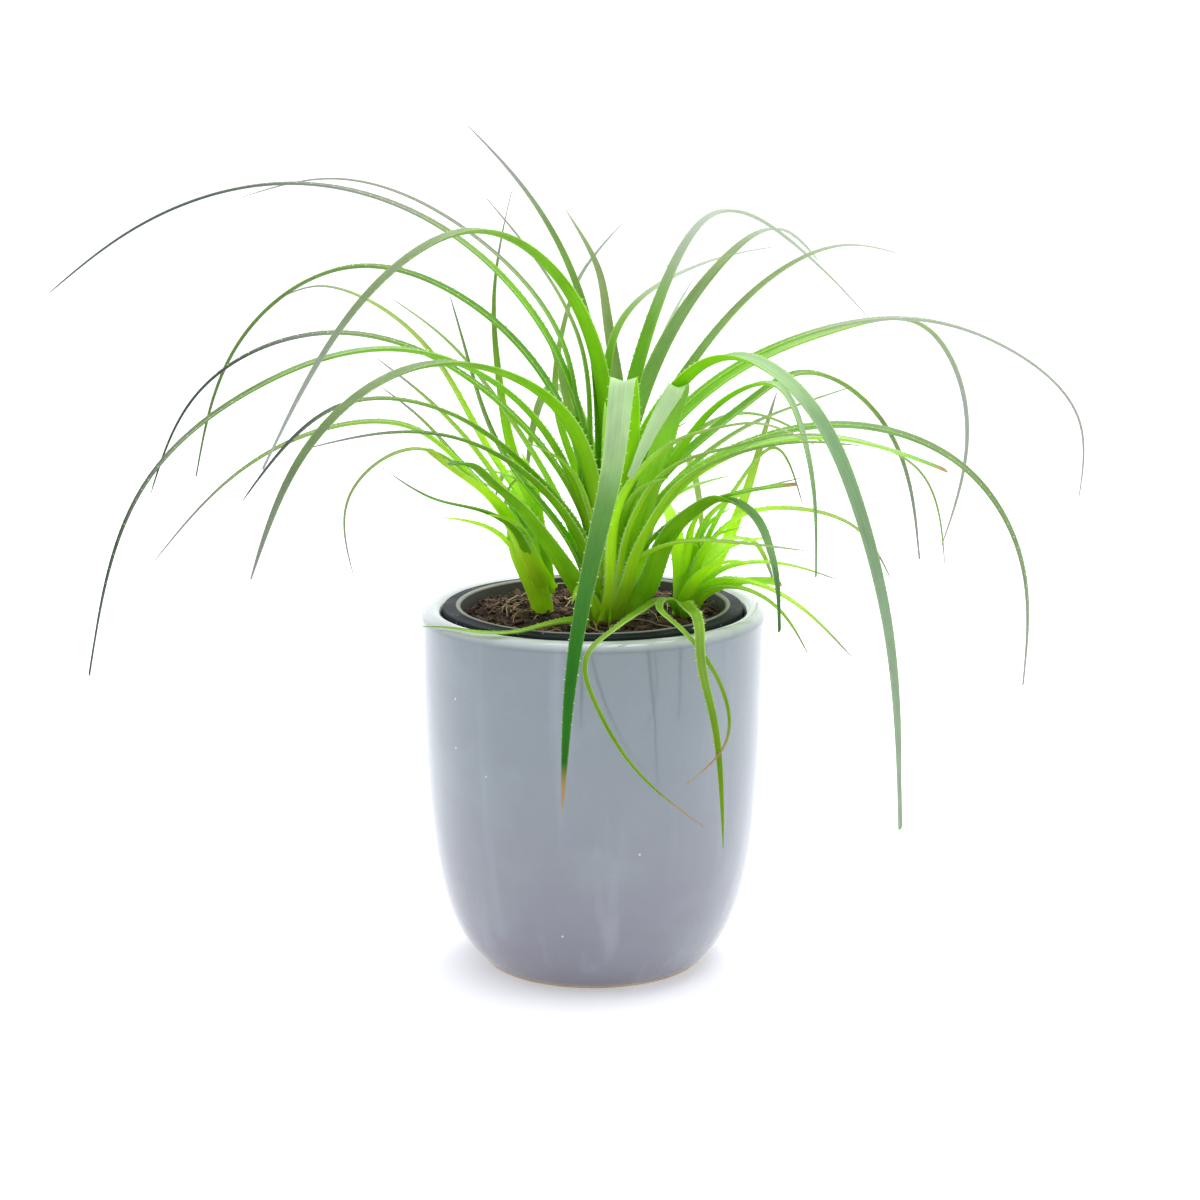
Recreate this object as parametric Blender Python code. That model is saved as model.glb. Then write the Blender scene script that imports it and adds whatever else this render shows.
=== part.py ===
"""Potted agave: a glazed pot, the plastic pot that stands in it, soil and three leafy rosettes.

Units are metres and +Z is up. The origin is the centre of the pot's foot, and +X is to the right as
the pot is seen from the front, along +Y.
"""
import math
from collections import namedtuple

import bmesh
import bpy
import numpy as np
from mathutils import Vector, noise

MM = 0.001
SEAT_GAP = 0.3
CUT_PAST = 2.0
SHARP_ANGLE = math.radians(35.0)

# Glazed pot, in millimetres
POT_RADIUS = 72.5
POT_HEIGHT = 153.0
POT_FOOT_RADIUS = 46.0
POT_FLOOR = 8.0
POT_MOUTH_RADIUS = 63.3
POT_SIDE = ((POT_FOOT_RADIUS, 0.0), (54.0, 9.0), (64.5, 32.0), (70.7, 75.0), (POT_RADIUS, 125.0))
POT_INSIDE = ((POT_MOUTH_RADIUS, 125.0), (62.0, 75.0), (55.5, 35.0), (47.0, 15.0), (39.0, POT_FLOOR))
SEGMENTS = 36
SIDE_POINTS = 8
INSIDE_POINTS = 5
LIP_STEPS = 6

# Plastic nursery pot
LINER_WALL = 1.2
LINER_FOOT_RADIUS = 36.0
LINER_TOP_RADIUS = 56.8
LINER_RIM_RADIUS = 62.9
LINER_SKIRT = 7.0
LINER_BASE = POT_FLOOR + SEAT_GAP
LINER_TOP = 153.2
LINER_EDGE = 0.5
LINER_BEAD_WIDTH = 2.4
LINER_BEAD_HEIGHT = 0.8
DRAIN_HOLES = 6
DRAIN_RADIUS = 4.0
DRAIN_CIRCLE = 25.0
DRAIN_SHARE_OF_STEP = 0.2
DRAIN_SEGMENTS = 8

# Soil
SOIL_HEIGHT = 150.0
SOIL_EDGE_DROP = 1.0
SOIL_RELIEF = 1.6
SOIL_LUMP = 6.0
SOIL_CRUMB = 2.5
SOIL_CRUMB_SHARE = 0.6
SOIL_RINGS = 6
HOLE_DEPTH = 12.0
HOLE_GAP = 0.4
HOLE_SEGMENTS = 16

# Leaves. A leaf starts a little off its crown's axis.
ARCH_SCALE = 0.98
LEAF_START_OUT = 1.5
TANGENT_STEP = 2.0
LEAF_STATION = 30.0
LEAF_TURN = math.radians(21.0)
LEAF_KEEL_BASE = 1.7
LEAF_KEEL_TIP = 0.7
LEAF_CHANNEL = 0.20
LEAF_TAPER = 0.62
LEAF_POINT_WIDTH = 1.1
LEAF_ROOT_WIDTH = 0.6
LEAF_ROOT_LENGTH = 35.0
TOOTH_HEIGHT = 1.0
TOOTH_LENGTH = 2.6
GOLDEN_RATIO = 0.618

# Young leaves: the first is the most upright, the last the longest and flattest
YOUNG_WIDTHS = (7.0, 9.0)
YOUNG_REACHES = (0.35, 1.0)
YOUNG_HEIGHTS = (1.0, 0.55)
YOUNG_ARCH = ((0.18, 0.45), (0.5, 0.85), (1.0, 1.0))

# A leaf leaves its crown towards heading (degrees, 0 is +X and 90 is the back). Its arch is a few
# points (reach, height) or (reach, height, aside) from the crown's centre at soil level, in mm, to be
# multiplied by ARCH_SCALE. A cut leaf keeps that share of its width at a blunt end, roll turns its tip
# about its length, and a low taper keeps it broad for longer.
Leaf = namedtuple("Leaf", "heading width arch cut roll taper", defaults=(0.0, 0.0, LEAF_TAPER))

# Young leaves are spread over an arc of headings, up to a reach and a height.
Young = namedtuple("Young", "count heading spread reach height")

# A crown is a short stem, given by the height above the soil, lean (x, y) and radius of its rings.
# Its leaves start at a height on it.
Crown = namedtuple("Crown", "place start stem leaves young")

MAIN_LEAVES = (
    # High arches to the left
    Leaf(165, 8, ((6, 60), (20, 110), (66, 161), (137, 181), (215, 157), (250, 132))),
    Leaf(156, 5, ((12, 70), (18, 113), (60, 160), (130, 182), (172, 173))),
    Leaf(217, 14, ((0, 60), (10, 123), (30, 151), (62, 167), (100, 156), (150, 104), (164, 82)), 0.12),
    Leaf(146, 5, ((8, 70), (12, 115), (38, 154), (60, 175))),
    Leaf(128, 7, ((4, 60), (13, 127), (48, 172), (96, 203))),
    Leaf(172, 10, ((6, 50), (27, 104), (61, 136), (105, 148), (155, 116), (176, 58)), 0.12),
    Leaf(180, 9, ((8, 40), (40, 89), (83, 117), (115, 122), (170, 96), (190, 55))),
    # Low arches to the left
    Leaf(200, 9, ((10, 45), (38, 95), (88, 119), (146, 107), (191, 73), (218, -5)), 0.22, 0, 0.5),
    Leaf(226, 12, ((6, 40), (20, 83), (60, 111), (100, 118), (134, 110), (166, 87), (190, 47)), 0.08),
    Leaf(207, 8, ((8, 30), (34, 66), (74, 95), (117, 100), (160, 65))),
    Leaf(212, 7, ((10, 28), (36, 64), (70, 84), (100, 89), (138, 86))),
    Leaf(168, 9, ((14, 30), (44, 70), (60, 114), (66, 136))),
    Leaf(152, 6, ((20, 45), (48, 86), (78, 116), (103, 131))),
    # Back
    Leaf(100, 10, ((1, 26, -5), (5, 60, -7), (9, 85, -8), (15, 111, -6), (20, 129, -4), (24, 144, -2),
                   (31, 159, 4), (38, 170, 10)), 0, 0, 0.7),
    Leaf(118, 5, ((3, 26, 1), (13, 63, 7), (22, 92, 12), (27, 113, 8), (29, 128, 3), (30, 143, -4),
                  (31, 150, -10), (32, 164, -25))),
    Leaf(68, 5, ((10, 50), (50, 98), (78, 120), (106, 135))),
    Leaf(55, 6, ((4, 60), (8, 121), (50, 141), (133, 148))),
    Leaf(106, 10, ((8, 40), (36, 76), (72, 90), (110, 74), (134, 34))),
    Leaf(90, 10, ((12, 30), (50, 64), (90, 72), (130, 50), (150, 5))),
    Leaf(72, 9, ((14, 30), (60, 60), (100, 62), (140, 32), (152, -10))),
    Leaf(118, 9, ((10, 40), (30, 80), (46, 108), (58, 120))),
    # High arches to the right
    Leaf(40, 14, ((6, 50), (15, 93), (31, 134), (61, 168), (105, 154), (167, 106)), 0, 0, 0.95),
    Leaf(50, 12, ((8, 50), (36, 108), (76, 143), (120, 157), (150, 141))),
    Leaf(34, 10, ((8, 45), (46, 107), (90, 142), (128, 152), (156, 147))),
    Leaf(320, 15, ((10, 45), (36, 98), (64, 117), (101, 103), (127, 64), (142, 20), (151, -62)), 0.2,
         0, 0.55),
    Leaf(16, 11, ((6, 25), (24, 58), (63, 90), (86, 102), (119, 85), (136, 53), (142, 19)), 0.15,
         0, 0.55),
    Leaf(334, 11, ((6, 30), (32, 71), (58, 100), (76, 105), (87, 89), (95, 28)), 0.15),
    Leaf(8, 9, ((8, 50), (36, 93), (82, 119), (127, 126), (173, 112), (204, 81), (205, 47))),
    Leaf(22, 10, ((10, 50), (51, 97), (110, 119), (147, 119), (161, 105), (171, 64), (160, 20)), 0, 0,
         0.6),
    Leaf(346, 12, ((8, 25), (24, 53), (60, 78), (101, 87), (150, 71), (173, 36), (176, -17)), 0.2, 0,
         0.45),
    Leaf(318, 8, ((8, 11, -3), (12, 34, -8), (19, 56, -10), (31, 72, -8), (45, 83, -5), (61, 89, -1),
                  (76, 92, 4), (101, 85, 12))),
    Leaf(322, 7, ((10, 11, -2), (15, 34, -5), (23, 52, -6), (34, 67, -5), (49, 76, -3), (64, 81, 1),
                  (85, 87, 7), (104, 88, 12))),
    Leaf(326, 10, ((12, 11, -1), (18, 29, -3), (28, 47, -4), (39, 62, -4), (54, 73, -2), (68, 79, 0),
                   (90, 84, 5), (114, 84, 12))),
    Leaf(0, 14, ((8, 15), (31, 56), (65, 75), (95, 78), (143, 64)), 0.4),
    Leaf(12, 7, ((10, 20), (50, 68), (104, 75), (138, 59), (150, 18))),
    Leaf(28, 7, ((8, 25), (40, 75), (68, 84), (98, 73), (120, 64))),
    Leaf(38, 6, ((10, 25), (42, 58), (73, 74), (105, 82), (140, 88))),
    Leaf(338, 8, ((10, 20), (33, 47), (50, 56), (84, 64)), 0.7),
    Leaf(330, 7, ((9, 20), (25, 34), (60, 40), (93, 40))),
    Leaf(300, 15, ((14, 11, 11), (20, 29, 15), (27, 42, 18), (35, 51, 24), (43, 56, 31), (48, 54, 36),
                   (53, 48, 41), (57, 38, 44), (59, 28, 46), (60, 2, 48)), 0.2, -25),
    # Front
    Leaf(263, 14, ((12, 50, 6), (29, 98, 12), (36, 107, 12), (48, 90, 11), (78, 53, 7), (97, 10, 0),
                   (105, -52, -4))),
    Leaf(282, 13, ((7, 10, 10), (11, 32, 11), (16, 52, 13), (21, 68, 17), (26, 82, 20), (30, 95, 23),
                   (34, 102, 24), (38, 104, 22), (41, 95, 14), (40, 85, 9), (38, 68, 2)), 0.25, 0, 0.42),
    Leaf(235, 9, ((12, 14, -7), (18, 25, -10), (30, 43, -15), (37, 52, -18), (51, 66, -24),
                  (58, 72, -27), (65, 73, -32)), 0.45),
    # This one lies on the lip of the pot
    Leaf(180, 5, ((13, 4, 18), (27.5, 5.5, 34), (37, 4.7, 40), (50, 4.1, 38), (64, 3.1, 25.5),
                  (76.5, 0.5, 11))),
    Leaf(235, 7, ((10, 10), (18, 18), (24, 12))),
)

LEFT_LEAVES = (
    Leaf(130, 9, ((6, 40), (20, 64), (30, 97), (33, 130), (20, 178)), 0, 0, 0.8),
    Leaf(165, 8, ((6, 40), (24, 69), (47, 107), (83, 134), (100, 137), (120, 130))),
    Leaf(190, 9, ((6, 30), (25, 54), (55, 81), (90, 82), (136, 58), (164, 28))),
    Leaf(206, 5, ((8, 30), (29, 57), (58, 75), (87, 58), (86, 23))),
    Leaf(245, 11, ((10, 22, -2), (14, 34, -5), (19, 45, -9), (27, 56, -15), (35, 65, -24),
                   (44, 75, -32)), 0.4),
    Leaf(228, 8, ((11, 25, 0), (17, 37, 0), (26, 45, -3), (41, 51, -7), (53, 55, -11), (66, 63, -16),
                  (75, 70, -19)), 0, 0, 1.0),
    Leaf(160, 7, ((8, 30), (34, 72), (56, 92), (76, 106))),
    Leaf(210, 5, ((10, 26), (18, 46), (16, 56), (6, 62))),
    Leaf(110, 8, ((6, 24), (22, 46), (46, 54), (66, 38))),
    Leaf(178, 8, ((8, 30), (34, 64), (52, 84), (68, 97))),
)

RIGHT_LEAVES = (
    Leaf(345, 8, ((6, 20), (25, 44), (46, 48), (75, 40), (89, 20))),
    Leaf(358, 8, ((6, 20), (24, 58), (37, 72), (50, 48))),
    Leaf(62, 8, ((20, 8), (38, 20), (60, 40), (84, 72), (93, 84))),
    Leaf(25, 6, ((15, 44), (37, 52), (56, 55))),
    Leaf(5, 6, ((12, 16), (35, 22), (66, 14))),
    Leaf(322, 10, ((8, 7, 2), (14, 12, 8), (30, 14, 20), (34, 13, 24)), 0.8),
    Leaf(332, 6, ((12, 14), (30, 17), (50, 11), (78, -10))),
    Leaf(322, 5, ((14, 12), (32, 15), (50, 8), (64, -8))),
    Leaf(100, 8, ((8, 18), (28, 36), (54, 38), (78, 14))),
    Leaf(55, 8, ((10, 14), (32, 26), (56, 22), (74, 0))),
    Leaf(262, 7, ((18, 8, 1), (39, 10, 7), (72, 15, 13), (87, 12, 16), (92, 4, 17), (94, -18, 22),
                  (91, -42, 25), (85, -77, 26))),
    Leaf(275, 4, ((20, 10, -8), (51, 14, -16), (86, 10, -8), (95, -4, 2), (96, -30, 6), (95, -48, -10))),
    Leaf(250, 4, ((20, 10), (46, 11, -3), (95, 12), (110, 4, -4), (108, -12, -1), (99, -43, 15),
                  (87, -66, 38))),
)

CROWNS = {
    "main_rosette": Crown(
        (5, -19), 2,
        ((-HOLE_DEPTH, 0, 0, 10), (0, 0, 0, 11), (14, 0, 0, 10), (30, 1, 0, 7), (46, 2, 0, 3)),
        MAIN_LEAVES, Young(8, 90, 360, 62, 100)),
    "left_offset": Crown(
        (-21, -1), 8,
        ((-HOLE_DEPTH, 0, 0, 4), (0, 0, 0, 4.6), (12, -3, 0, 5.5), (26, -8, 0, 6), (38, -12, 0, 3)),
        LEFT_LEAVES, Young(5, 185, 130, 45, 70)),
    "right_offset": Crown(
        (38, -5), 3,
        ((-HOLE_DEPTH, 0, 0, 6), (0, 0, 0, 7), (10, 1, 0, 7), (20, 3, 0, 5), (30, 5, 0, 2)),
        RIGHT_LEAVES, Young(6, 10, 150, 45, 50)),
}
STEM_SEGMENTS = 10
STEM_SHARE_OF_STEP = 0.25


def clear_scene():
    for obj in list(bpy.data.objects):
        bpy.data.objects.remove(obj, do_unlink=True)


def material(name, colour, roughness):
    made = bpy.data.materials.new(name)
    made.use_nodes = True
    shader = made.node_tree.nodes["Principled BSDF"]
    shader.inputs["Base Color"].default_value = (*colour, 1.0)
    shader.inputs["Roughness"].default_value = roughness
    shader.inputs["Metallic"].default_value = 0.0
    return made


def add_object(name, bm, finish):
    """Makes one closed object in millimetres, turned the right way out, and scales it to metres."""
    bmesh.ops.recalc_face_normals(bm, faces=bm.faces)
    bmesh.ops.scale(bm, vec=(MM, MM, MM), verts=bm.verts)
    mesh = bpy.data.meshes.new(name)
    bm.to_mesh(mesh)
    bm.free()
    mesh.materials.append(finish)
    mesh.shade_smooth()
    mesh.set_sharp_from_angle(angle=SHARP_ANGLE)
    obj = bpy.data.objects.new(name, mesh)
    bpy.context.scene.collection.objects.link(obj)
    return obj


def smooth_curve(points, count):
    """Points along the natural cubic spline through the given ones."""
    points = np.array(points, dtype=float)
    lengths = np.linalg.norm(np.diff(points, axis=0), axis=1)
    knots = np.concatenate(([0.0], np.cumsum(lengths)))
    last = len(points) - 1
    system = np.eye(last + 1)
    slopes = np.diff(points, axis=0) / lengths[:, None]
    change = np.zeros_like(points)
    for i in range(1, last):
        system[i, i - 1] = lengths[i - 1]
        system[i, i] = 2.0 * (lengths[i - 1] + lengths[i])
        system[i, i + 1] = lengths[i]
        change[i] = 6.0 * (slopes[i] - slopes[i - 1])
    bend = np.linalg.solve(system, change)
    places = []
    for s in np.linspace(0.0, knots[-1], count):
        i = min(int(np.searchsorted(knots, s, side="right")) - 1, last - 1)
        h = lengths[i]
        a = (knots[i + 1] - s) / h
        b = 1.0 - a
        place = a * points[i] + b * points[i + 1]
        place += ((a ** 3 - a) * bend[i] + (b ** 3 - b) * bend[i + 1]) * h * h / 6.0
        places.append(Vector(place))
    return places


def turned(name, profile, segments, finish):
    """Turns a profile of (radius, height) that starts and ends on the axis."""
    bm = bmesh.new()
    rings = []
    for radius, height in profile:
        if radius == 0.0:
            rings.append([bm.verts.new((0.0, 0.0, height))])
            continue
        angles = [math.tau * k / segments for k in range(segments)]
        rings.append([bm.verts.new((radius * math.cos(a), radius * math.sin(a), height)) for a in angles])
    for lower, upper in zip(rings, rings[1:]):
        for k in range(segments):
            corners = [lower[k % len(lower)], lower[(k + 1) % len(lower)],
                       upper[(k + 1) % len(upper)], upper[k % len(upper)]]
            bm.faces.new(list(dict.fromkeys(corners)))
    return add_object(name, bm, finish)


def arc(centre, radius, start, stop, steps):
    """Points of an arc in the profile's plane, with angles in degrees from the outward direction."""
    turns = [math.radians(start + (stop - start) * i / steps) for i in range(steps + 1)]
    return [(centre[0] + radius * math.cos(t), centre[1] + radius * math.sin(t)) for t in turns]


def cylinder(radius, bottom, top, place, segments):
    """A cutter for holes."""
    bm = bmesh.new()
    bmesh.ops.create_cone(bm, cap_ends=True, segments=segments, radius1=radius, radius2=radius,
                          depth=top - bottom)
    bmesh.ops.translate(bm, vec=(place[0], place[1], (top + bottom) / 2.0), verts=bm.verts)
    return bm


def cut_holes(obj, cutters):
    """Cuts every hole and removes the cutters."""
    for bm in cutters:
        cutter = add_object("hole_cutter", bm, obj.data.materials[0])
        cutter.hide_render = True
        cutter.display_type = "WIRE"
        modifier = obj.modifiers.new("hole", "BOOLEAN")
        modifier.operation = "DIFFERENCE"
        modifier.object = cutter
        apply_modifier(obj, modifier)
        bpy.data.objects.remove(cutter, do_unlink=True)


def apply_modifier(obj, modifier):
    with bpy.context.temp_override(object=obj, active_object=obj):
        bpy.ops.object.modifier_apply(modifier=modifier.name)


def make_pot():
    lip_radius = (POT_RADIUS - POT_MOUTH_RADIUS) / 2.0
    lip_centre = (POT_RADIUS - lip_radius, POT_HEIGHT - lip_radius)
    outside = [(p.x, p.y) for p in smooth_curve(POT_SIDE, SIDE_POINTS)]
    lip = arc(lip_centre, lip_radius, 0.0, 180.0, LIP_STEPS)
    inside = [(p.x, p.y) for p in smooth_curve(POT_INSIDE, INSIDE_POINTS)]
    profile = [(0.0, 0.0), *outside, *lip, *inside, (0.0, POT_FLOOR)]
    finish = material("blue_grey_glaze", (0.33, 0.37, 0.44), 0.12)
    return turned("ceramic_pot", profile, SEGMENTS, finish)


def liner_inner_radius(height):
    """Inside radius of the nursery pot, whose wall leans out from foot to rim."""
    share = (height - LINER_BASE) / (LINER_TOP - LINER_BASE)
    return LINER_FOOT_RADIUS + (LINER_TOP_RADIUS - LINER_FOOT_RADIUS) * share - LINER_WALL


def make_liner():
    flange_under = LINER_TOP - LINER_WALL
    floor = LINER_BASE + LINER_WALL
    inner = liner_inner_radius(LINER_TOP)
    profile = (
        (0.0, LINER_BASE),
        (LINER_FOOT_RADIUS, LINER_BASE),
        (liner_inner_radius(flange_under) + LINER_WALL, flange_under),
        (LINER_RIM_RADIUS - LINER_WALL, flange_under),
        (LINER_RIM_RADIUS - LINER_WALL, LINER_TOP - LINER_SKIRT),
        (LINER_RIM_RADIUS, LINER_TOP - LINER_SKIRT),
        (LINER_RIM_RADIUS, LINER_TOP - LINER_EDGE),
        (LINER_RIM_RADIUS - LINER_EDGE, LINER_TOP),
        (inner + LINER_BEAD_WIDTH, LINER_TOP),
        (inner + LINER_BEAD_WIDTH - LINER_EDGE, LINER_TOP + LINER_BEAD_HEIGHT),
        (inner + LINER_EDGE, LINER_TOP + LINER_BEAD_HEIGHT),
        (inner, LINER_TOP),
        (liner_inner_radius(floor), floor),
        (0.0, floor),
    )
    finish = material("black_plastic", (0.03, 0.035, 0.04), 0.55)
    liner = turned("nursery_pot", profile, SEGMENTS, finish)
    drains = []
    for k in range(DRAIN_HOLES):
        turn = math.tau * (k + DRAIN_SHARE_OF_STEP) / DRAIN_HOLES
        place = (DRAIN_CIRCLE * math.cos(turn), DRAIN_CIRCLE * math.sin(turn))
        drains.append(cylinder(DRAIN_RADIUS, LINER_BASE - CUT_PAST, floor + CUT_PAST, place,
                               DRAIN_SEGMENTS))
    cut_holes(liner, drains)
    return liner


def soil_height(x, y):
    """Height of the soil's crumbly top, a little lower at the wall of the pot."""
    edge = math.hypot(x, y) / LINER_TOP_RADIUS
    spot = Vector((x, y, SOIL_HEIGHT))
    crumb = noise.noise(spot / SOIL_LUMP) + SOIL_CRUMB_SHARE * noise.noise(spot / SOIL_CRUMB)
    return SOIL_HEIGHT - SOIL_EDGE_DROP * edge ** 3 + SOIL_RELIEF * crumb


def ring_of(bm, radius, offset, height):
    """A ring of vertices whose height is a number or a function of their place."""
    turns = [math.tau * (k + offset) / SEGMENTS for k in range(SEGMENTS)]
    spots = [(radius * math.cos(t), radius * math.sin(t)) for t in turns]
    return [bm.verts.new((x, y, height(x, y) if callable(height) else height)) for x, y in spots]


def make_soil():
    bottom = LINER_BASE + LINER_WALL + SEAT_GAP
    rim_height = SOIL_HEIGHT - SOIL_EDGE_DROP
    rim = liner_inner_radius(rim_height) - SEAT_GAP
    foot = liner_inner_radius(bottom) - SEAT_GAP
    bm = bmesh.new()
    rings = [ring_of(bm, rim * ring / SOIL_RINGS, ring % 2 / 2.0, soil_height)
             for ring in range(1, SOIL_RINGS)]
    rings.append(ring_of(bm, rim, 0.0, rim_height))
    rings.append(ring_of(bm, foot, 0.0, bottom))
    top = bm.verts.new((0.0, 0.0, soil_height(0.0, 0.0)))
    base = bm.verts.new((0.0, 0.0, bottom))
    for k in range(SEGMENTS):
        after = (k + 1) % SEGMENTS
        for inner, outer in zip(rings, rings[1:]):
            bm.faces.new((inner[k], outer[k], outer[after]))
            bm.faces.new((inner[k], outer[after], inner[after]))
        bm.faces.new((top, rings[0][k], rings[0][after]))
        bm.faces.new((base, rings[-1][after], rings[-1][k]))
    soil = add_object("soil", bm, material("dark_soil", (0.06, 0.035, 0.02), 0.95))
    holes = []
    for crown in CROWNS.values():
        widest = max(ring[3] for ring in crown.stem[:2])
        holes.append(cylinder(widest + HOLE_GAP, SOIL_HEIGHT - HOLE_DEPTH - HOLE_GAP,
                              SOIL_HEIGHT + 2.0 * SOIL_RELIEF, crown.place, HOLE_SEGMENTS))
    cut_holes(soil, holes)
    return soil


class Blade:
    """The course of one leaf: its centre line with a tangent, a side and a face direction."""

    SAMPLES = 90

    def __init__(self, crown, leaf):
        heading = math.radians(leaf.heading)
        out = Vector((math.cos(heading), math.sin(heading), 0.0))
        left = Vector((-math.sin(heading), math.cos(heading), 0.0))
        root = Vector((crown.place[0], crown.place[1], SOIL_HEIGHT))
        up = Vector((0.0, 0.0, 1.0))
        course = [root + out * LEAF_START_OUT + up * crown.start]
        for reach, height, *aside in leaf.arch:
            arched = out * reach + up * height + left * (aside[0] if aside else 0.0)
            course.append(root + arched * ARCH_SCALE)
        self.leaf = leaf
        self.left = left
        self.places = smooth_curve(course, self.SAMPLES)
        steps = [(b - a).length for a, b in zip(self.places, self.places[1:])]
        self.travel = np.concatenate(([0.0], np.cumsum(steps)))
        self.length = float(self.travel[-1])

    def place(self, s):
        i = min(int(np.searchsorted(self.travel, s, side="right")) - 1, self.SAMPLES - 2)
        i = max(i, 0)
        share = (s - self.travel[i]) / (self.travel[i + 1] - self.travel[i])
        return self.places[i].lerp(self.places[i + 1], share)

    def frame(self, s):
        """Centre, side and face directions at a distance s along the leaf."""
        ahead = self.place(min(s + TANGENT_STEP, self.length))
        behind = self.place(max(s - TANGENT_STEP, 0.0))
        tangent = (ahead - behind).normalized()
        side = (self.left - tangent * self.left.dot(tangent)).normalized()
        roll = math.radians(self.leaf.roll) * s / self.length
        face = tangent.cross(side)
        turned_side = side * math.cos(roll) + face * math.sin(roll)
        return self.place(s), turned_side, tangent.cross(turned_side)

    def width(self, s):
        """Widest a little above the root, and tapered to a point or to the cut."""
        to_go = max(1.0 - s / self.length, 0.0)
        root = LEAF_ROOT_WIDTH + (1.0 - LEAF_ROOT_WIDTH) * min(s / LEAF_ROOT_LENGTH, 1.0)
        return max(self.leaf.width * root * to_go ** self.leaf.taper, LEAF_POINT_WIDTH,
                   self.leaf.cut * self.leaf.width)

    def keel(self, s):
        return LEAF_KEEL_BASE + (LEAF_KEEL_TIP - LEAF_KEEL_BASE) * s / self.length

    def stations(self):
        """Distances for the keel's points, closer where the leaf bends."""
        marks = [0.0]
        since = 0.0
        turn = 0.0
        for i in range(1, self.SAMPLES - 1):
            since += self.travel[i] - self.travel[i - 1]
            before = self.places[i] - self.places[i - 1]
            after = self.places[i + 1] - self.places[i]
            turn += before.angle(after)
            if since > LEAF_STATION or turn > LEAF_TURN:
                marks.append(float(self.travel[i]))
                since = 0.0
                turn = 0.0
        if self.length - marks[-1] < 3.0 * TOOTH_LENGTH:
            marks.pop()
        return marks

    def keel_points(self, s):
        centre, side, face = self.frame(s)
        half = self.keel(s) / 2.0
        return centre + face * half, centre - face * half

    def margin_point(self, s, hand, tooth=0.0):
        """A point of the left (hand 1) or right (hand -1) margin, raised over the keel."""
        centre, side, face = self.frame(s)
        width = self.width(s)
        out = hand * (width / 2.0 + tooth)
        return centre + side * out + face * (width * LEAF_CHANNEL)

    def margin(self, marks, hand):
        """The margin's points with their distances: each keel mark but the first carries a tooth."""
        line = [(marks[0], self.margin_point(marks[0], hand))]
        for mark in marks[1:]:
            start = mark - TOOTH_LENGTH / 2.0
            end = mark + TOOTH_LENGTH / 2.0
            line.append((start, self.margin_point(start, hand)))
            line.append((mark, self.margin_point(mark, hand, TOOTH_HEIGHT)))
            line.append((end, self.margin_point(end, hand)))
        return line


def zip_strip(bm, inner, outer, flip):
    """Fills the strip between two lines of (distance, vertex) with triangles, walking both."""
    i = 0
    j = 0
    while i < len(inner) - 1 or j < len(outer) - 1:
        step_inner = j == len(outer) - 1
        if i < len(inner) - 1 and j < len(outer) - 1:
            step_inner = inner[i + 1][0] + inner[i][0] < outer[j + 1][0] + outer[j][0]
        if step_inner:
            corners = (inner[i][1], outer[j][1], inner[i + 1][1])
            i += 1
        else:
            corners = (inner[i][1], outer[j][1], outer[j + 1][1])
            j += 1
        bm.faces.new(corners[::-1] if flip else corners)


def leaf_mesh(crown, leaf):
    """A channelled blade of four long strips between two keel lines and two toothed margins."""
    blade = Blade(crown, leaf)
    marks = blade.stations()
    bm = bmesh.new()
    upper = []
    lower = []
    for s in marks:
        high, low = blade.keel_points(s)
        upper.append((s, bm.verts.new(high)))
        lower.append((s, bm.verts.new(low)))
    margins = []
    for hand in (1, -1):
        margins.append([(s, bm.verts.new(p)) for s, p in blade.margin(marks, hand)])
    tip = None
    if leaf.cut:
        high, low = blade.keel_points(blade.length)
        upper.append((blade.length, bm.verts.new(high)))
        lower.append((blade.length, bm.verts.new(low)))
        for margin, hand in zip(margins, (1, -1)):
            margin.append((blade.length, bm.verts.new(blade.margin_point(blade.length, hand))))
    else:
        tip = (blade.length, bm.verts.new(blade.place(blade.length)))
        for line in (upper, lower, *margins):
            line.append(tip)
    for margin, hand in zip(margins, (1, -1)):
        zip_ends(bm, upper, margin, hand > 0, tip)
        zip_ends(bm, lower, margin, hand < 0, tip)
    ends = [0] if tip else [0, -1]
    for end in ends:
        bm.faces.new((upper[end][1], margins[0][end][1], lower[end][1], margins[1][end][1]))
    return bm


def zip_ends(bm, inner, outer, flip, tip):
    """Zips a strip and closes it at a shared tip without a flat triangle."""
    if tip is None:
        zip_strip(bm, inner, outer, flip)
        return
    zip_strip(bm, inner[:-1], outer[:-1], flip)
    corners = (inner[-2][1], outer[-2][1], tip[1])
    bm.faces.new(corners[::-1] if flip else corners)


def stem_mesh(crown):
    """The short stem that the leaves grow from, a stack of rings in the soil's hole."""
    bm = bmesh.new()
    rings = []
    for height, lean_x, lean_y, radius in crown.stem:
        centre = Vector((crown.place[0] + lean_x, crown.place[1] + lean_y, SOIL_HEIGHT + height))
        turns = [math.tau * (k + STEM_SHARE_OF_STEP) / STEM_SEGMENTS for k in range(STEM_SEGMENTS)]
        rings.append([bm.verts.new(centre + Vector((math.cos(t), math.sin(t), 0.0)) * radius)
                      for t in turns])
    for lower, upper in zip(rings, rings[1:]):
        for k in range(STEM_SEGMENTS):
            after = (k + 1) % STEM_SEGMENTS
            bm.faces.new((lower[k], lower[after], upper[after], upper[k]))
    bm.faces.new(rings[0][::-1])
    bm.faces.new(rings[-1])
    return bm


def between(ends, share):
    return ends[0] + (ends[1] - ends[0]) * share


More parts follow.
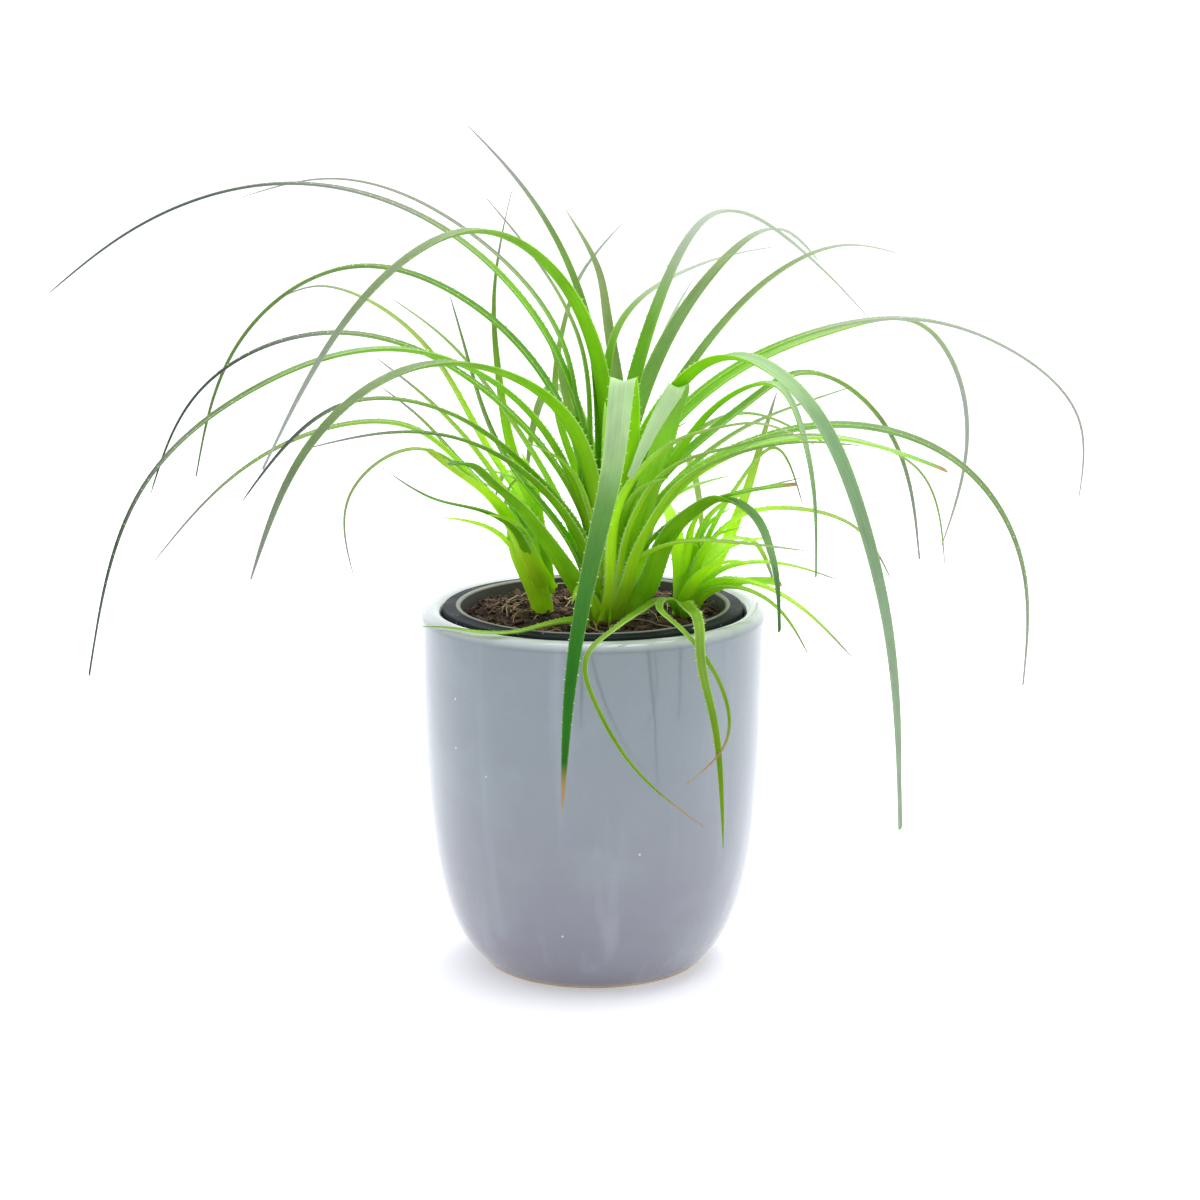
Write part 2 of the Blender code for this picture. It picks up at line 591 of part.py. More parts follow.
def young_leaves(young):
    """Short inner leaves spread over an arc by the golden ratio, longer and flatter in turn."""
    leaves = []
    for k in range(young.count):
        share = (k + 0.5) / young.count
        turn = (k * GOLDEN_RATIO) % 1.0 - 0.5
        out = young.reach * between(YOUNG_REACHES, share)
        up = young.height * between(YOUNG_HEIGHTS, share)
        arch = [(out * reach, up * height) for reach, height in YOUNG_ARCH]
        leaves.append(Leaf(young.heading + young.spread * turn, between(YOUNG_WIDTHS, share), arch))
    return leaves


def all_leaves():
    """Every leaf of each crown, the drawn ones first."""
    return {name: [*crown.leaves, *young_leaves(crown.young)] for name, crown in CROWNS.items()}


def keep_main_body(obj):
    """Drops loose scraps, and fills sealed hollows by dropping their inner faces."""
    bm = bmesh.new()
    bm.from_mesh(obj.data)
    left = set(bm.verts)
    bodies = []
    while left:
        body = set()
        edge_of_body = [left.pop()]
        while edge_of_body:
            vert = edge_of_body.pop()
            body.add(vert)
            for edge in vert.link_edges:
                other = edge.other_vert(vert)
                if other in left:
                    left.discard(other)
                    edge_of_body.append(other)
        bodies.append(body)
    bodies.sort(key=len)
    scraps = [vert for body in bodies[:-1] for vert in body]
    bmesh.ops.delete(bm, geom=scraps, context="VERTS")
    bm.to_mesh(obj.data)
    bm.free()


def make_rosette(name, crown, leaves, finish):
    """Joins a stem and its leaves into one solid."""
    collection = bpy.data.collections.new(name + "_leaves")
    bpy.context.scene.collection.children.link(collection)
    rosette = add_object(name, stem_mesh(crown), finish)
    for leaf in leaves:
        blade = add_object("leaf", leaf_mesh(crown, leaf), finish)
        bpy.context.scene.collection.objects.unlink(blade)
        collection.objects.link(blade)
    modifier = rosette.modifiers.new("join", "BOOLEAN")
    modifier.operation = "UNION"
    modifier.operand_type = "COLLECTION"
    modifier.collection = collection
    modifier.solver = "MANIFOLD"
    apply_modifier(rosette, modifier)
    for blade in list(collection.objects):
        bpy.data.objects.remove(blade, do_unlink=True)
    bpy.data.collections.remove(collection)
    keep_main_body(rosette)
    return rosette


def main():
    clear_scene()
    make_pot()
    make_liner()
    make_soil()
    leaf_finish = material("agave_leaf", (0.2, 0.42, 0.03), 0.4)
    leaves = all_leaves()
    for name, crown in CROWNS.items():
        make_rosette(name, crown, leaves[name], leaf_finish)


main()
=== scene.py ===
"""Looks of a potted agave, laid out as a Blender add-on: pots, soil, litter, leaves and a studio.

Lengths in the constants and tables are in millimetres, and a property says its own unit. +Z is up, and
the plant is seen along +Y.
"""
import math
import random
from collections import namedtuple

import bmesh
import bpy
import numpy as np
from bpy.props import FloatProperty, FloatVectorProperty, IntProperty, PointerProperty
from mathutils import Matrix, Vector, noise


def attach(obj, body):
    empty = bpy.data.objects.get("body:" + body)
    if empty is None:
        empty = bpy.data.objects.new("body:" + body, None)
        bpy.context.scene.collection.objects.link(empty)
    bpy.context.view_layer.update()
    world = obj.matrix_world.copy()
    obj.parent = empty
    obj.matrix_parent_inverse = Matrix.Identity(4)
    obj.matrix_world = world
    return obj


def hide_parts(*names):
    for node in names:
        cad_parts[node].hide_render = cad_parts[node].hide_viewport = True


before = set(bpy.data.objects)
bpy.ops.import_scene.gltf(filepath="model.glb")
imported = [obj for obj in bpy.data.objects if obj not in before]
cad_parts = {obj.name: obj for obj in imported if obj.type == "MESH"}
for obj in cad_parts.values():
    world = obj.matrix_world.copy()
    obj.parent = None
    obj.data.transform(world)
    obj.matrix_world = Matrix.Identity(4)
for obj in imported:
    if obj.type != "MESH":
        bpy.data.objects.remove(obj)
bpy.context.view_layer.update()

bl_info = {
    "name": "Potted Agave",
    "version": (1, 0, 0),
    "blender": (4, 5, 0),
    "location": "3D View > Sidebar > Agave",
    "description": "Builds the pots, soil, leaves and studio of a potted agave round its packed solids",
    "category": "Object",
}

MM = 0.001
BODY = "root"

# Glazed pot
POT_RADIUS = 72.5
POT_HEIGHT = 153.0
POT_FOOT_RADIUS = 46.0
POT_FLOOR = 8.0
POT_MOUTH_RADIUS = 63.3
POT_SHOULDER = 125.0
POT_SIDE = ((POT_FOOT_RADIUS, 0.0), (54.0, 9.0), (64.5, 32.0), (70.7, 75.0),
            (POT_RADIUS, POT_SHOULDER))
POT_INSIDE = ((POT_MOUTH_RADIUS, POT_SHOULDER), (62.0, 75.0), (55.5, 35.0), (47.0, 15.0),
              (39.0, POT_FLOOR))
POT_SIDE_STEPS = 60
POT_INSIDE_STEPS = 30
POT_LIP_STEPS = 28
POT_WOBBLE_SIZE = 38.0
POT_WOBBLE_RISE = (4.0, 20.0)

# How far the glaze's lower edge stands out and up from the bare foot, and its gap to the side above
GLAZE_EDGE = (0.35, 0.12)
GLAZE_EDGE_GAP = 0.5

# Plastic nursery pot
LINER_WALL = 1.2
LINER_FOOT_RADIUS = 36.0
LINER_FOOT_BEVEL = 1.0
LINER_TOP_RADIUS = 56.8
LINER_RIM_RADIUS = 62.9
LINER_SKIRT = 7.0
LINER_BASE = 8.3
LINER_TOP = 153.2
LINER_EDGE = 0.5
LINER_EDGE_STEPS = 4
LINER_BEAD = 0.8
LINER_BEAD_WIDTH = 2.4
LINER_BEAD_FOOT = (0.4, 0.15)
LINER_BEAD_STEPS = 8
LINER_MOUTH_DROP = 1.5
LINER_SIDE_START = 20.0
LINER_SIDE_STEPS = 12
LINER_WOBBLE = 0.35
LINER_WOBBLE_SIZE = 30.0
LINER_WOBBLE_RISE = (120.0, 30.0)
DRAIN_HOLES = 6
DRAIN_RADIUS = 4.0
DRAIN_CIRCLE = 25.0
DRAIN_CUT = 6.0
DRAIN_SEGMENTS = 32

# Soil, whose lumps and grains are pairs of a size and a strength
SOIL_HEIGHT = 150.0
SOIL_EDGE_DROP = 1.0
SOIL_RELIEF = 1.6
SOIL_LUMPS = ((6.0, 1.0), (2.5, 0.6))
SOIL_GRAINS = ((1.1, 0.5), (0.5, 0.25))
SOIL_SEGMENTS = 200
SOIL_RINGS = 60
SOIL_GAP = 0.3
SOIL_RIM_GAP = 0.25
SOIL_CALM_WIDTH = 1.5
SOIL_CALM_SHARE = 0.4

# Scraps and straws on the soil
LITTER_EDGE = 1.5
SCRAP_BREADTH = (0.55, 1.0)
SCRAP_THICKNESS = (0.25, 0.6)
SCRAP_LUMPS = 0.35
SCRAP_LUMP_SCALE = 1.7
SCRAP_LIFT = 0.22
CRUMB_SIZE = (0.5, 1.5)
CHIP_SIZE = (1.0, 2.7)
STRAW_LENGTH = (7.0, 24.0)
STRAW_RADIUS = (0.16, 0.42)
STRAW_CURL = 0.9
STRAW_LIFTS = (0.4, 0.6, 0.9, 2.5)
STRAW_STEPS = 9
STRAW_FEWEST = 4
STRAW_SIDES = 5
STRAW_CLEAR = 0.3
STRAW_EDGE = 4.0

# Leaves
LEAF_START_OUT = 1.5
START_OUT_SHARE = 0.5
ARCH_SCALE = 0.98
COURSE_SAMPLES = 500
TANGENT_STEP = 2.0
LEAF_CHANNEL = 0.20
LEAF_TAPER = 0.62
TIP_WIDTH = 0.35
ROUNDED_STEPS = (1.0, 0.65, 0.4, 0.2, 0.08, 0.0)
GOLDEN_RATIO = 0.618
YOUNG_WIDTHS = (7.0, 9.0)
YOUNG_REACHES = (0.35, 1.0)
YOUNG_HEIGHTS = (1.0, 0.55)
YOUNG_ARCH = ((0.18, 0.45), (0.5, 0.85), (1.0, 1.0))

# The leaf's cross section, from its left margin to its right one and back below
ACROSS_UPPER = (-1.0, -0.8, -0.4, 0.0, 0.4, 0.8, 1.0)
ACROSS_LOWER = (0.8, 0.4, 0.0, -0.4, -0.8)
CHANNEL_POWER = 1.4

# The leaf is thickest at its root, by a flesh that ends within a short way and a body that thins out
TIP_THICKNESS = 0.45
BODY_THICKNESS = 1.3
FLESH_THICKNESS = 2.0
FLESH_LENGTH = 12.0
MOST_THICKNESS = 0.7

# Near the soil a leaf widens and wraps round its crown
CLASP_LENGTH = 22.0
CLASP_CHANNEL = 0.25
STEM_SIDES = 28
STEM_RINGS = 14

# Margin teeth
TEETH_START = 24.0
TEETH_END_SHARE = 0.97
TEETH_END_GAP = 2.0
TEETH_SPREAD = (0.2, 0.35)
TOOTH_GAP_CHANGE = (0.75, 1.25)
TOOTH_GROWTH = (0.6, 1.15)
TOOTH_HOOK = (-0.15, 0.4)
TOOTH_FULL_WIDTH = 5.0
TOOTH_HALF = 0.34
TOOTH_THIN = 0.16
TOOTH_SUNK = 0.25
TOOTH_FACES = ((0, 1, 4), (1, 2, 4), (2, 3, 4), (3, 0, 4), (3, 2, 1, 0))

# Numbers kept in a leaf's mesh, one for each point, for its material to read
LEAF_VALUES = ("lane", "rim", "along", "travel", "tone", "fresh", "grey", "slate", "pale", "mint",
               "dry", "slope", "fallen")

# Studio
FLOOR_RINGS = (0.0, 100.0, 200.0, 500.0, 1500.0, 5000.0, 20000.0, 80000.0)
FLOOR_SEGMENTS = 96
FLOOR_DROP = 0.2
LIGHT_PLACE = (250.0, 350.0, 1700.0)
LIGHT_TARGET = (0.0, 0.0, 150.0)
LIGHT_SIZE = 1500.0
CAMERA_TARGET = (2.94, 0.0, 155.15)
CAMERA_CLIP = (10.0, 200000.0)
SENSOR_WIDTH = 36.0

# A leaf leaves its crown towards heading (degrees, 0 is +X and 90 is the back). Its arch is a few
# points (reach, height) or (reach, height, aside) from the crown's centre at soil level, to be
# multiplied by ARCH_SCALE. A cut leaf keeps that share of its width at a blunt end, roll turns its tip
# about its length, and a low taper keeps it broad for longer. dry is the share of its length that has
# withered. grey is the place along it, as a share, from which it turns grey, or NEVER. The rest run
# from 0 to 1: fresh is how yellow-green it is, slate how dark and blue its grey end is, pale how light
# its upper side and its far end are, and mint how cool and light its whole blade is. tone, from -3,
# the darkest, to 1, is its own shade. Where fresh or grey isn't given its crown says, and a missing
# tone is drawn at random.
# A crown's leaves start at a height from the soil, inside its stem, whose rings are given by the
# height above the soil, lean (x, y) and radius.
NEVER = 2.0
Leaf = namedtuple("Leaf", "heading width arch cut roll taper dry fresh grey slate pale mint tone",
                  defaults=(0.0, 0.0, LEAF_TAPER, 0.0, None, None, 0.0, 0.3, 0.0, None))
Young = namedtuple("Young", "count heading spread reach height")
Crown = namedtuple("Crown", "place start stem leaves young clasp fresh grey")

MAIN_LEAVES = (
    # High arches to the left
    Leaf(165, 8, ((6, 60), (20, 110), (66, 161), (137, 181), (215, 157), (250, 132)), 0, 0, 0.5,
         grey=0.38, slate=0.8, tone=-0.3),
    Leaf(156, 5, ((12, 70), (18, 113), (60, 160), (130, 182), (172, 173)), grey=0.42),
    Leaf(217, 14, ((0, 60), (10, 123), (30, 151), (62, 167), (100, 156), (150, 104), (164, 82)), 0.12,
         grey=0.72, pale=0.7),
    Leaf(146, 5, ((8, 70), (12, 115), (38, 154), (60, 175)), grey=0.7),
    Leaf(128, 7, ((4, 60), (13, 127), (48, 172), (96, 203)), grey=0.68, tone=-1.2),
    Leaf(172, 10, ((6, 50), (27, 104), (61, 136), (105, 148), (155, 116), (176, 58)), 0.12, 0, 0.5,
         grey=0.86, slate=1.0, mint=0.3, tone=-1.1),
    Leaf(180, 9, ((8, 40), (40, 89), (83, 117), (115, 122), (170, 96), (190, 55)), 0, 0, 0.45,
         grey=0.5, slate=0.9, tone=-1.0),
    # Low arches to the left
    Leaf(200, 9, ((10, 45), (38, 95), (88, 119), (146, 107), (191, 73), (218, -5)), 0.22, 0, 0.5,
         grey=0.56, slate=1.0, pale=0.4, mint=0.3, tone=-1.0),
    Leaf(226, 12, ((6, 40), (20, 83), (60, 111), (100, 118), (134, 110), (166, 87), (190, 47)), 0.08,
         0, 0.5, grey=0.8, pale=0.4, tone=-0.9),
    Leaf(207, 8, ((8, 30), (34, 66), (74, 95), (117, 100), (160, 65)), 0, 0, 0.5, grey=0.66, slate=0.8,
         tone=-0.9),
    Leaf(212, 10, ((10, 28), (36, 64), (70, 84), (100, 89), (138, 86)), 0, 0, 0.75, grey=0.72, slate=0.3,
         tone=-1.9),
    Leaf(168, 9, ((14, 30), (44, 70), (60, 114), (66, 136))),
    Leaf(152, 6, ((20, 45), (48, 86), (78, 116), (103, 131))),
    # Back
    Leaf(100, 10, ((1, 26, -5), (5, 60, -7), (9, 85, -8), (15, 111, -6), (20, 129, -4), (24, 144, -2),
                   (31, 159, 4), (38, 170, 10)), 0, 0, 0.7, grey=0.9, pale=0.5, mint=1.0, tone=0.8),
    Leaf(118, 5, ((3, 26, 1), (13, 63, 7), (22, 92, 12), (27, 113, 8), (29, 128, 3), (30, 143, -4),
                  (31, 150, -10), (32, 164, -25)), grey=0.7, pale=0.9, tone=1.0),
    Leaf(68, 5, ((10, 50), (50, 98), (78, 120), (106, 135)), grey=0.7, pale=0.9, tone=0.8),
    Leaf(55, 6, ((4, 60), (8, 121), (50, 141), (133, 148)), grey=0.5, pale=1.0),
    Leaf(106, 10, ((8, 40), (36, 76), (72, 90), (110, 74), (134, 34))),
    Leaf(90, 10, ((12, 30), (50, 64), (90, 72), (130, 50), (150, 5))),
    Leaf(72, 9, ((14, 30), (60, 60), (100, 62), (140, 32), (152, -10))),
    Leaf(118, 9, ((10, 40), (30, 80), (46, 108), (58, 120))),
    # High arches to the right
    Leaf(40, 15, ((6, 50), (15, 93), (31, 134), (61, 168), (105, 154), (167, 106)), 0, 0, 1.25,
         grey=0.38, pale=1.0),
    Leaf(50, 12, ((8, 50), (36, 108), (76, 143), (120, 157), (150, 141)), grey=0.7, pale=1.0, mint=0.9),
    Leaf(34, 10, ((8, 45), (46, 107), (90, 142), (128, 152), (156, 147)), grey=0.75, pale=1.0,
         mint=0.8),
    Leaf(320, 15, ((10, 45), (36, 98), (64, 117), (101, 103), (127, 64), (142, 20), (151, -62)), 0.2,
         0, 0.55, grey=NEVER, pale=1.0),
    Leaf(16, 11, ((6, 25), (24, 58), (63, 90), (86, 102), (119, 85), (136, 53), (142, 19)), 0.15,
         0, 0.55, grey=0.7, pale=0.5, mint=0.4, tone=-0.3),
    Leaf(334, 11, ((6, 30), (32, 71), (58, 100), (76, 105), (87, 89), (95, 28)), 0.15, grey=NEVER),
    Leaf(8, 9, ((8, 50), (36, 93), (82, 119), (127, 126), (173, 112), (204, 81), (205, 47)), 0, 0, 0.6,
         grey=0.42, pale=0.7, tone=-0.6),
    Leaf(22, 10, ((10, 50), (51, 97), (110, 119), (147, 119), (161, 105), (171, 64), (160, 20)), 0, 0,
         0.6, grey=0.6, pale=0.8),
    Leaf(346, 12, ((8, 25), (24, 53), (60, 78), (101, 87), (150, 71), (173, 36), (176, -17)), 0.2, 0,
         0.45, grey=0.7, pale=0.7, mint=0.9, tone=-0.8),
    Leaf(318, 8, ((8, 11, -3), (12, 34, -8), (19, 56, -10), (31, 72, -8), (45, 83, -5), (61, 89, -1),
                  (76, 92, 4), (101, 85, 12))),
    Leaf(322, 7, ((10, 11, -2), (15, 34, -5), (23, 52, -6), (34, 67, -5), (49, 76, -3), (64, 81, 1),
                  (85, 87, 7), (104, 88, 12))),
    Leaf(326, 10, ((12, 11, -1), (18, 29, -3), (28, 47, -4), (39, 62, -4), (54, 73, -2), (68, 79, 0),
                   (90, 84, 5), (114, 84, 12))),
    Leaf(0, 14, ((8, 15), (31, 56), (65, 75), (95, 78), (143, 64)), 0.4, dry=0.03, grey=NEVER),
    Leaf(12, 7, ((10, 20), (50, 68), (104, 75), (138, 59), (150, 18))),
    Leaf(28, 7, ((8, 25), (40, 75), (68, 84), (98, 73), (120, 64))),
    Leaf(38, 6, ((10, 25), (42, 58), (73, 74), (105, 82), (140, 88))),
    Leaf(338, 8, ((10, 20), (33, 47), (50, 56), (84, 64)), 0.7, dry=0.05),
    Leaf(330, 7, ((9, 20), (25, 34), (60, 40), (93, 40))),
    Leaf(300, 12, ((14, 11, 11), (20, 29, 15), (27, 42, 18), (35, 51, 24), (43, 56, 31), (48, 54, 36),
                   (53, 48, 41), (57, 38, 44), (59, 28, 46), (60, 2, 48)), 0.2, -25,
         grey=NEVER, pale=0.0, tone=-1.9),
    # Front
    Leaf(263, 14, ((12, 50, 6), (29, 98, 12), (36, 107, 12), (48, 90, 11), (78, 53, 7), (97, 10, 0),
                   (105, -52, -4)), dry=0.06, grey=NEVER, pale=0.0, tone=0.0),
    Leaf(282, 13, ((7, 10, 10), (11, 32, 11), (16, 52, 13), (21, 68, 17), (26, 82, 20), (30, 95, 23),
                   (34, 102, 24), (38, 104, 22), (41, 95, 14), (40, 85, 9), (38, 68, 2)), 0.25, 0, 0.42,
         grey=NEVER, pale=0.3, mint=0.4, tone=1.0),
    Leaf(235, 13, ((12, 14, -7), (18, 25, -10), (30, 43, -15), (37, 52, -18), (51, 66, -24),
                  (58, 72, -27), (65, 73, -32)), 0.5, 0, 0.45, grey=NEVER, tone=-2.0),
    # This one lies on the lip of the pot
    Leaf(180, 5, ((13, 4, 18), (27.5, 5.5, 34), (37, 4.7, 40), (50, 4.1, 38), (64, 3.1, 25.5),
                  (76.5, 0.5, 11)), fresh=0.7, grey=NEVER, tone=-1.0),
    Leaf(235, 7, ((10, 10), (18, 18), (24, 12)), fresh=1.0),
)

LEFT_LEAVES = (
    Leaf(130, 9, ((6, 40), (20, 64), (30, 97), (33, 130), (20, 178)), 0, 0, 1.1, fresh=0.3),
    Leaf(165, 8, ((6, 40), (24, 69), (47, 107), (83, 134), (100, 137), (120, 130)), tone=1.0),
    Leaf(190, 9, ((6, 30), (25, 54), (55, 81), (90, 82), (136, 58), (164, 28)), fresh=0.4, grey=0.7),
    Leaf(206, 5, ((8, 30), (29, 57), (58, 75), (87, 58), (86, 23)), fresh=0.4, grey=0.75),
    Leaf(245, 11, ((10, 22, -2), (14, 34, -5), (19, 45, -9), (27, 56, -15), (35, 65, -24),
                   (44, 75, -32)), 0.4, tone=0.6),
    Leaf(228, 8, ((11, 25, 0), (17, 37, 0), (26, 45, -3), (41, 51, -7), (53, 55, -11), (66, 63, -16),
                  (75, 70, -19)), 0, 0, 1.0, fresh=0.0, tone=-2.4),
    Leaf(160, 7, ((8, 30), (34, 72), (56, 92), (76, 106))),
    Leaf(210, 5, ((10, 26), (18, 46), (16, 56), (6, 62))),
    Leaf(110, 8, ((6, 24), (22, 46), (46, 54), (66, 38))),
    Leaf(178, 8, ((8, 30), (34, 64), (52, 84), (68, 97))),
)

RIGHT_LEAVES = (
    Leaf(345, 8, ((6, 20), (25, 44), (46, 48), (75, 40), (89, 20))),
    Leaf(358, 8, ((6, 20), (24, 58), (37, 72), (50, 48))),
    Leaf(62, 8, ((20, 8), (38, 20), (60, 40), (84, 72), (93, 84))),
    Leaf(25, 6, ((15, 44), (37, 52), (56, 55))),
    Leaf(5, 6, ((12, 16), (35, 22), (66, 14))),
    Leaf(322, 10, ((8, 7, 2), (14, 12, 8), (30, 14, 20), (34, 13, 24)), 0.8, dry=0.04),
    Leaf(332, 6, ((12, 14), (30, 17), (50, 11), (78, -10))),
    Leaf(322, 5, ((14, 12), (32, 15), (50, 8), (64, -8))),
    Leaf(100, 8, ((8, 18), (28, 36), (54, 38), (78, 14))),
    Leaf(55, 8, ((10, 14), (32, 26), (56, 22), (74, 0))),
    Leaf(262, 6.2, ((18, 8, 1), (39, 10, 7), (72, 15, 13), (87, 12, 16), (92, 4, 17), (94, -18, 22),
                  (91, -42, 25), (85, -77, 26)), fresh=0.9, grey=NEVER, pale=0.0, tone=-1.4),
    Leaf(275, 3.6, ((20, 10, -8), (51, 14, -16), (86, 10, -8), (95, -4, 2), (96, -30, 6),
                    (95, -48, -10)), dry=0.2, fresh=0.9, grey=NEVER, pale=0.0, tone=-1.4),
    Leaf(250, 4, ((20, 10), (46, 11, -3), (95, 12), (110, 4, -4), (108, -12, -1), (99, -43, 15),
                  (87, -66, 38)), dry=0.12, fresh=0.9, grey=NEVER,
         pale=0.0, tone=-1.4),
)

CROWNS = {
    "main_rosette": Crown(
        (5, -19), -5, ((-12, 0, 0, 5), (0, 0, 0, 5), (14, 0, 0, 6), (30, 1, 0, 5), (46, 2, 0, 2)),
        MAIN_LEAVES, Young(8, 90, 360, 62, 100), 0.3, 0.0, 0.9),
    "left_offset": Crown(
        (-21, -1), 8,
        ((-12, 0, 0, 4), (0, 0, 0, 4.6), (12, -3, 0, 5.5), (26, -8, 0, 6), (38, -12, 0, 3)),
        LEFT_LEAVES, Young(5, 185, 130, 45, 70), 0.1, 0.65, 0.75),
    "right_offset": Crown(
        (38, -5), -3, ((-12, 0, 0, 4), (0, 0, 0, 4), (10, 1, 0, 5), (20, 3, 0, 4), (30, 5, 0, 2)),
        RIGHT_LEAVES, Young(6, 10, 150, 45, 50), 0.2, 0.5, 0.8),
}


def tint(name, description, default):
    """A colour that a user can change."""
    return FloatVectorProperty(name=name, description=description, default=default, subtype="COLOR",
                               min=0.0, max=1.0)


class AgavePotSettings(bpy.types.PropertyGroup):
    """Sizes and colours of the glazed pot and of the nursery pot in it."""

    segments: IntProperty(name="Segments", description="Sides of each turned surface", default=192,
                          min=24, max=512)
    wobble: FloatProperty(name="Wobble", description="How far the thrown wall strays from round",
                          default=0.00022, unit="LENGTH", precision=5)
    foot_height: FloatProperty(name="Foot Height", description="Height of the bare clay foot",
                               default=0.0013, unit="LENGTH", precision=4)
    glaze_high: tint("Glaze High", "Glaze colour near the lip", (0.182, 0.220, 0.245))
    glaze_low: tint("Glaze Low", "Glaze colour near the foot", (0.210, 0.208, 0.252))
    glaze_run: tint("Glaze Run", "Lighter runs down the glaze", (0.33, 0.36, 0.42))
    glaze_cloud: tint("Glaze Cloud", "Greener clouds in the glaze", (0.23, 0.285, 0.30))
    # The lip colour is a painted highlight: a pale grey laid on the top of the rounded lip, for the light
    # that it catches.
    lip: tint("Lip", "Pale colour where the glaze thins on the lip", (0.60, 0.63, 0.64))
    scratch: tint("Scratch", "Hair scratches in the glaze", (0.62, 0.66, 0.70))
    speck: tint("Speck", "Pale specks in the glaze", (0.80, 0.82, 0.83))
    clay: tint("Clay", "Colour of the bare clay foot", (0.58, 0.47, 0.36))
    pit: tint("Pit", "Dark pits in the clay", (0.25, 0.18, 0.12))
    plastic: tint("Plastic", "Colour of the nursery pot", (0.014, 0.018, 0.022))
    # Painted highlight: a light grey laid in patches on the rolled bead, for the light that its top
    # catches.
    bead_highlight: tint("Worn", "Colour of the worn bead of the nursery pot", (0.31, 0.31, 0.28))
    soiled: tint("Soiled", "Dust on the inside of the nursery pot", (0.15, 0.135, 0.12))
    dust: tint("Dust", "Grains of dust on the nursery pot", (0.30, 0.26, 0.20))


class AgaveSoilSettings(bpy.types.PropertyGroup):
    """Amounts and colours of the soil and what lies on it."""

    crumbs: IntProperty(name="Crumbs", description="Number of peat crumbs", default=1500, min=0)
    chips: IntProperty(name="Chips", description="Number of bark chips", default=210, min=0)
    straws: IntProperty(name="Straws", description="Number of straws and root threads", default=75, min=0)
    seed: IntProperty(name="Seed", description="Seed of every random place", default=7)
    peat: tint("Peat", "Colour of the dark peat", (0.022, 0.013, 0.009))
    fibre: tint("Fibre", "Brown fibres in the peat", (0.075, 0.038, 0.022))
    fleck: tint("Fleck", "Tan flecks in the peat", (0.40, 0.31, 0.20))
    crumb: tint("Crumb", "Colour of the lightest crumbs", (0.095, 0.050, 0.028))
    bark_dark: tint("Bark Dark", "Colour of the darkest bark", (0.05, 0.022, 0.012))
    bark: tint("Bark", "Colour of the reddish bark", (0.19, 0.080, 0.040))
    straw_dark: tint("Straw Dark", "Colour of the darkest straws", (0.16, 0.09, 0.04))
    straw: tint("Straw", "Colour of the straws", (0.60, 0.46, 0.27))


class AgaveLeafSettings(bpy.types.PropertyGroup):
    """Fineness, teeth and colours of the leaves."""

    station: FloatProperty(name="Station", description="Longest step along a leaf", default=0.005,
                           unit="LENGTH", precision=4)
    bend: FloatProperty(name="Bend", description="Largest turn of one step along a leaf",
                        default=math.radians(4.0), subtype="ANGLE")
    tooth: FloatProperty(name="Tooth", description="Length of a margin tooth", default=0.00135,
                         unit="LENGTH", precision=5)
    gap_root: FloatProperty(name="Gap Root", description="Distance between teeth near the root",
                            default=0.0018, unit="LENGTH", precision=4)
    gap_tip: FloatProperty(name="Gap Tip", description="Distance between teeth near the tip",
                           default=0.0055, unit="LENGTH", precision=4)
    vivid: tint("Vivid", "Fresh green of the underside", (0.36, 0.70, 0.02))
    inner: tint("Inner", "Cooler green of the upper side", (0.34, 0.66, 0.06))
    # Partly the leaf's own glaucous wax and partly a painted highlight, laid where the upper side lies
    # level and faces the light overhead.
    bloom_and_sheen: tint("Bloom", "Whitish bloom where a leaf bends over", (0.74, 0.84, 0.64))
    waxy: tint("Waxy", "Grey-green of the falling upper side", (0.21, 0.39, 0.13))
    ashen: tint("Ashen", "Pale grey-green of a fall that stays light", (0.44, 0.57, 0.42))
    silver: tint("Silver", "Near white of the palest far ends", (0.66, 0.70, 0.65))
    mint: tint("Mint", "Cool light green of some upright leaves", (0.34, 0.54, 0.24))
    # Painted shade: the falling part of a leaf turns this dark green the further it hangs, away from the
    # light overhead.
    shaded_fall: tint("Deep", "Dark green of a long fall", (0.035, 0.23, 0.03))
    olive: tint("Olive", "Duller green of the far underside", (0.14, 0.32, 0.015))
    fresh: tint("Fresh", "Yellow-green of the young leaves", (0.42, 0.58, 0.0))
    # Partly the yellow-green of the leaf bases and partly painted light: made bright and far-reaching for
    # the light that shines through the crowded crown.
    root: tint("Root", "Yellow-green of every leaf's root", (0.68, 1.0, 0.03))
    dull: tint("Dull", "Olive grey of the middle of a long leaf", (0.31, 0.36, 0.17))
    mauve: tint("Mauve", "Mauve grey of some far ends", (0.27, 0.25, 0.28))
    slate: tint("Slate", "Dark grey-blue of other far ends", (0.025, 0.050, 0.060))
    edge: tint("Edge", "Pale margin and teeth", (0.72, 0.90, 0.38))
    dry: tint("Dry", "Tan of the withered ends", (0.55, 0.38, 0.20))
    lit: tint("Lit", "Green of the light that shines through", (0.50, 0.80, 0.0))
    glow: FloatProperty(name="Glow", description="Share of light that passes through a leaf",
                        default=0.56, subtype="FACTOR", min=0.0, max=1.0)


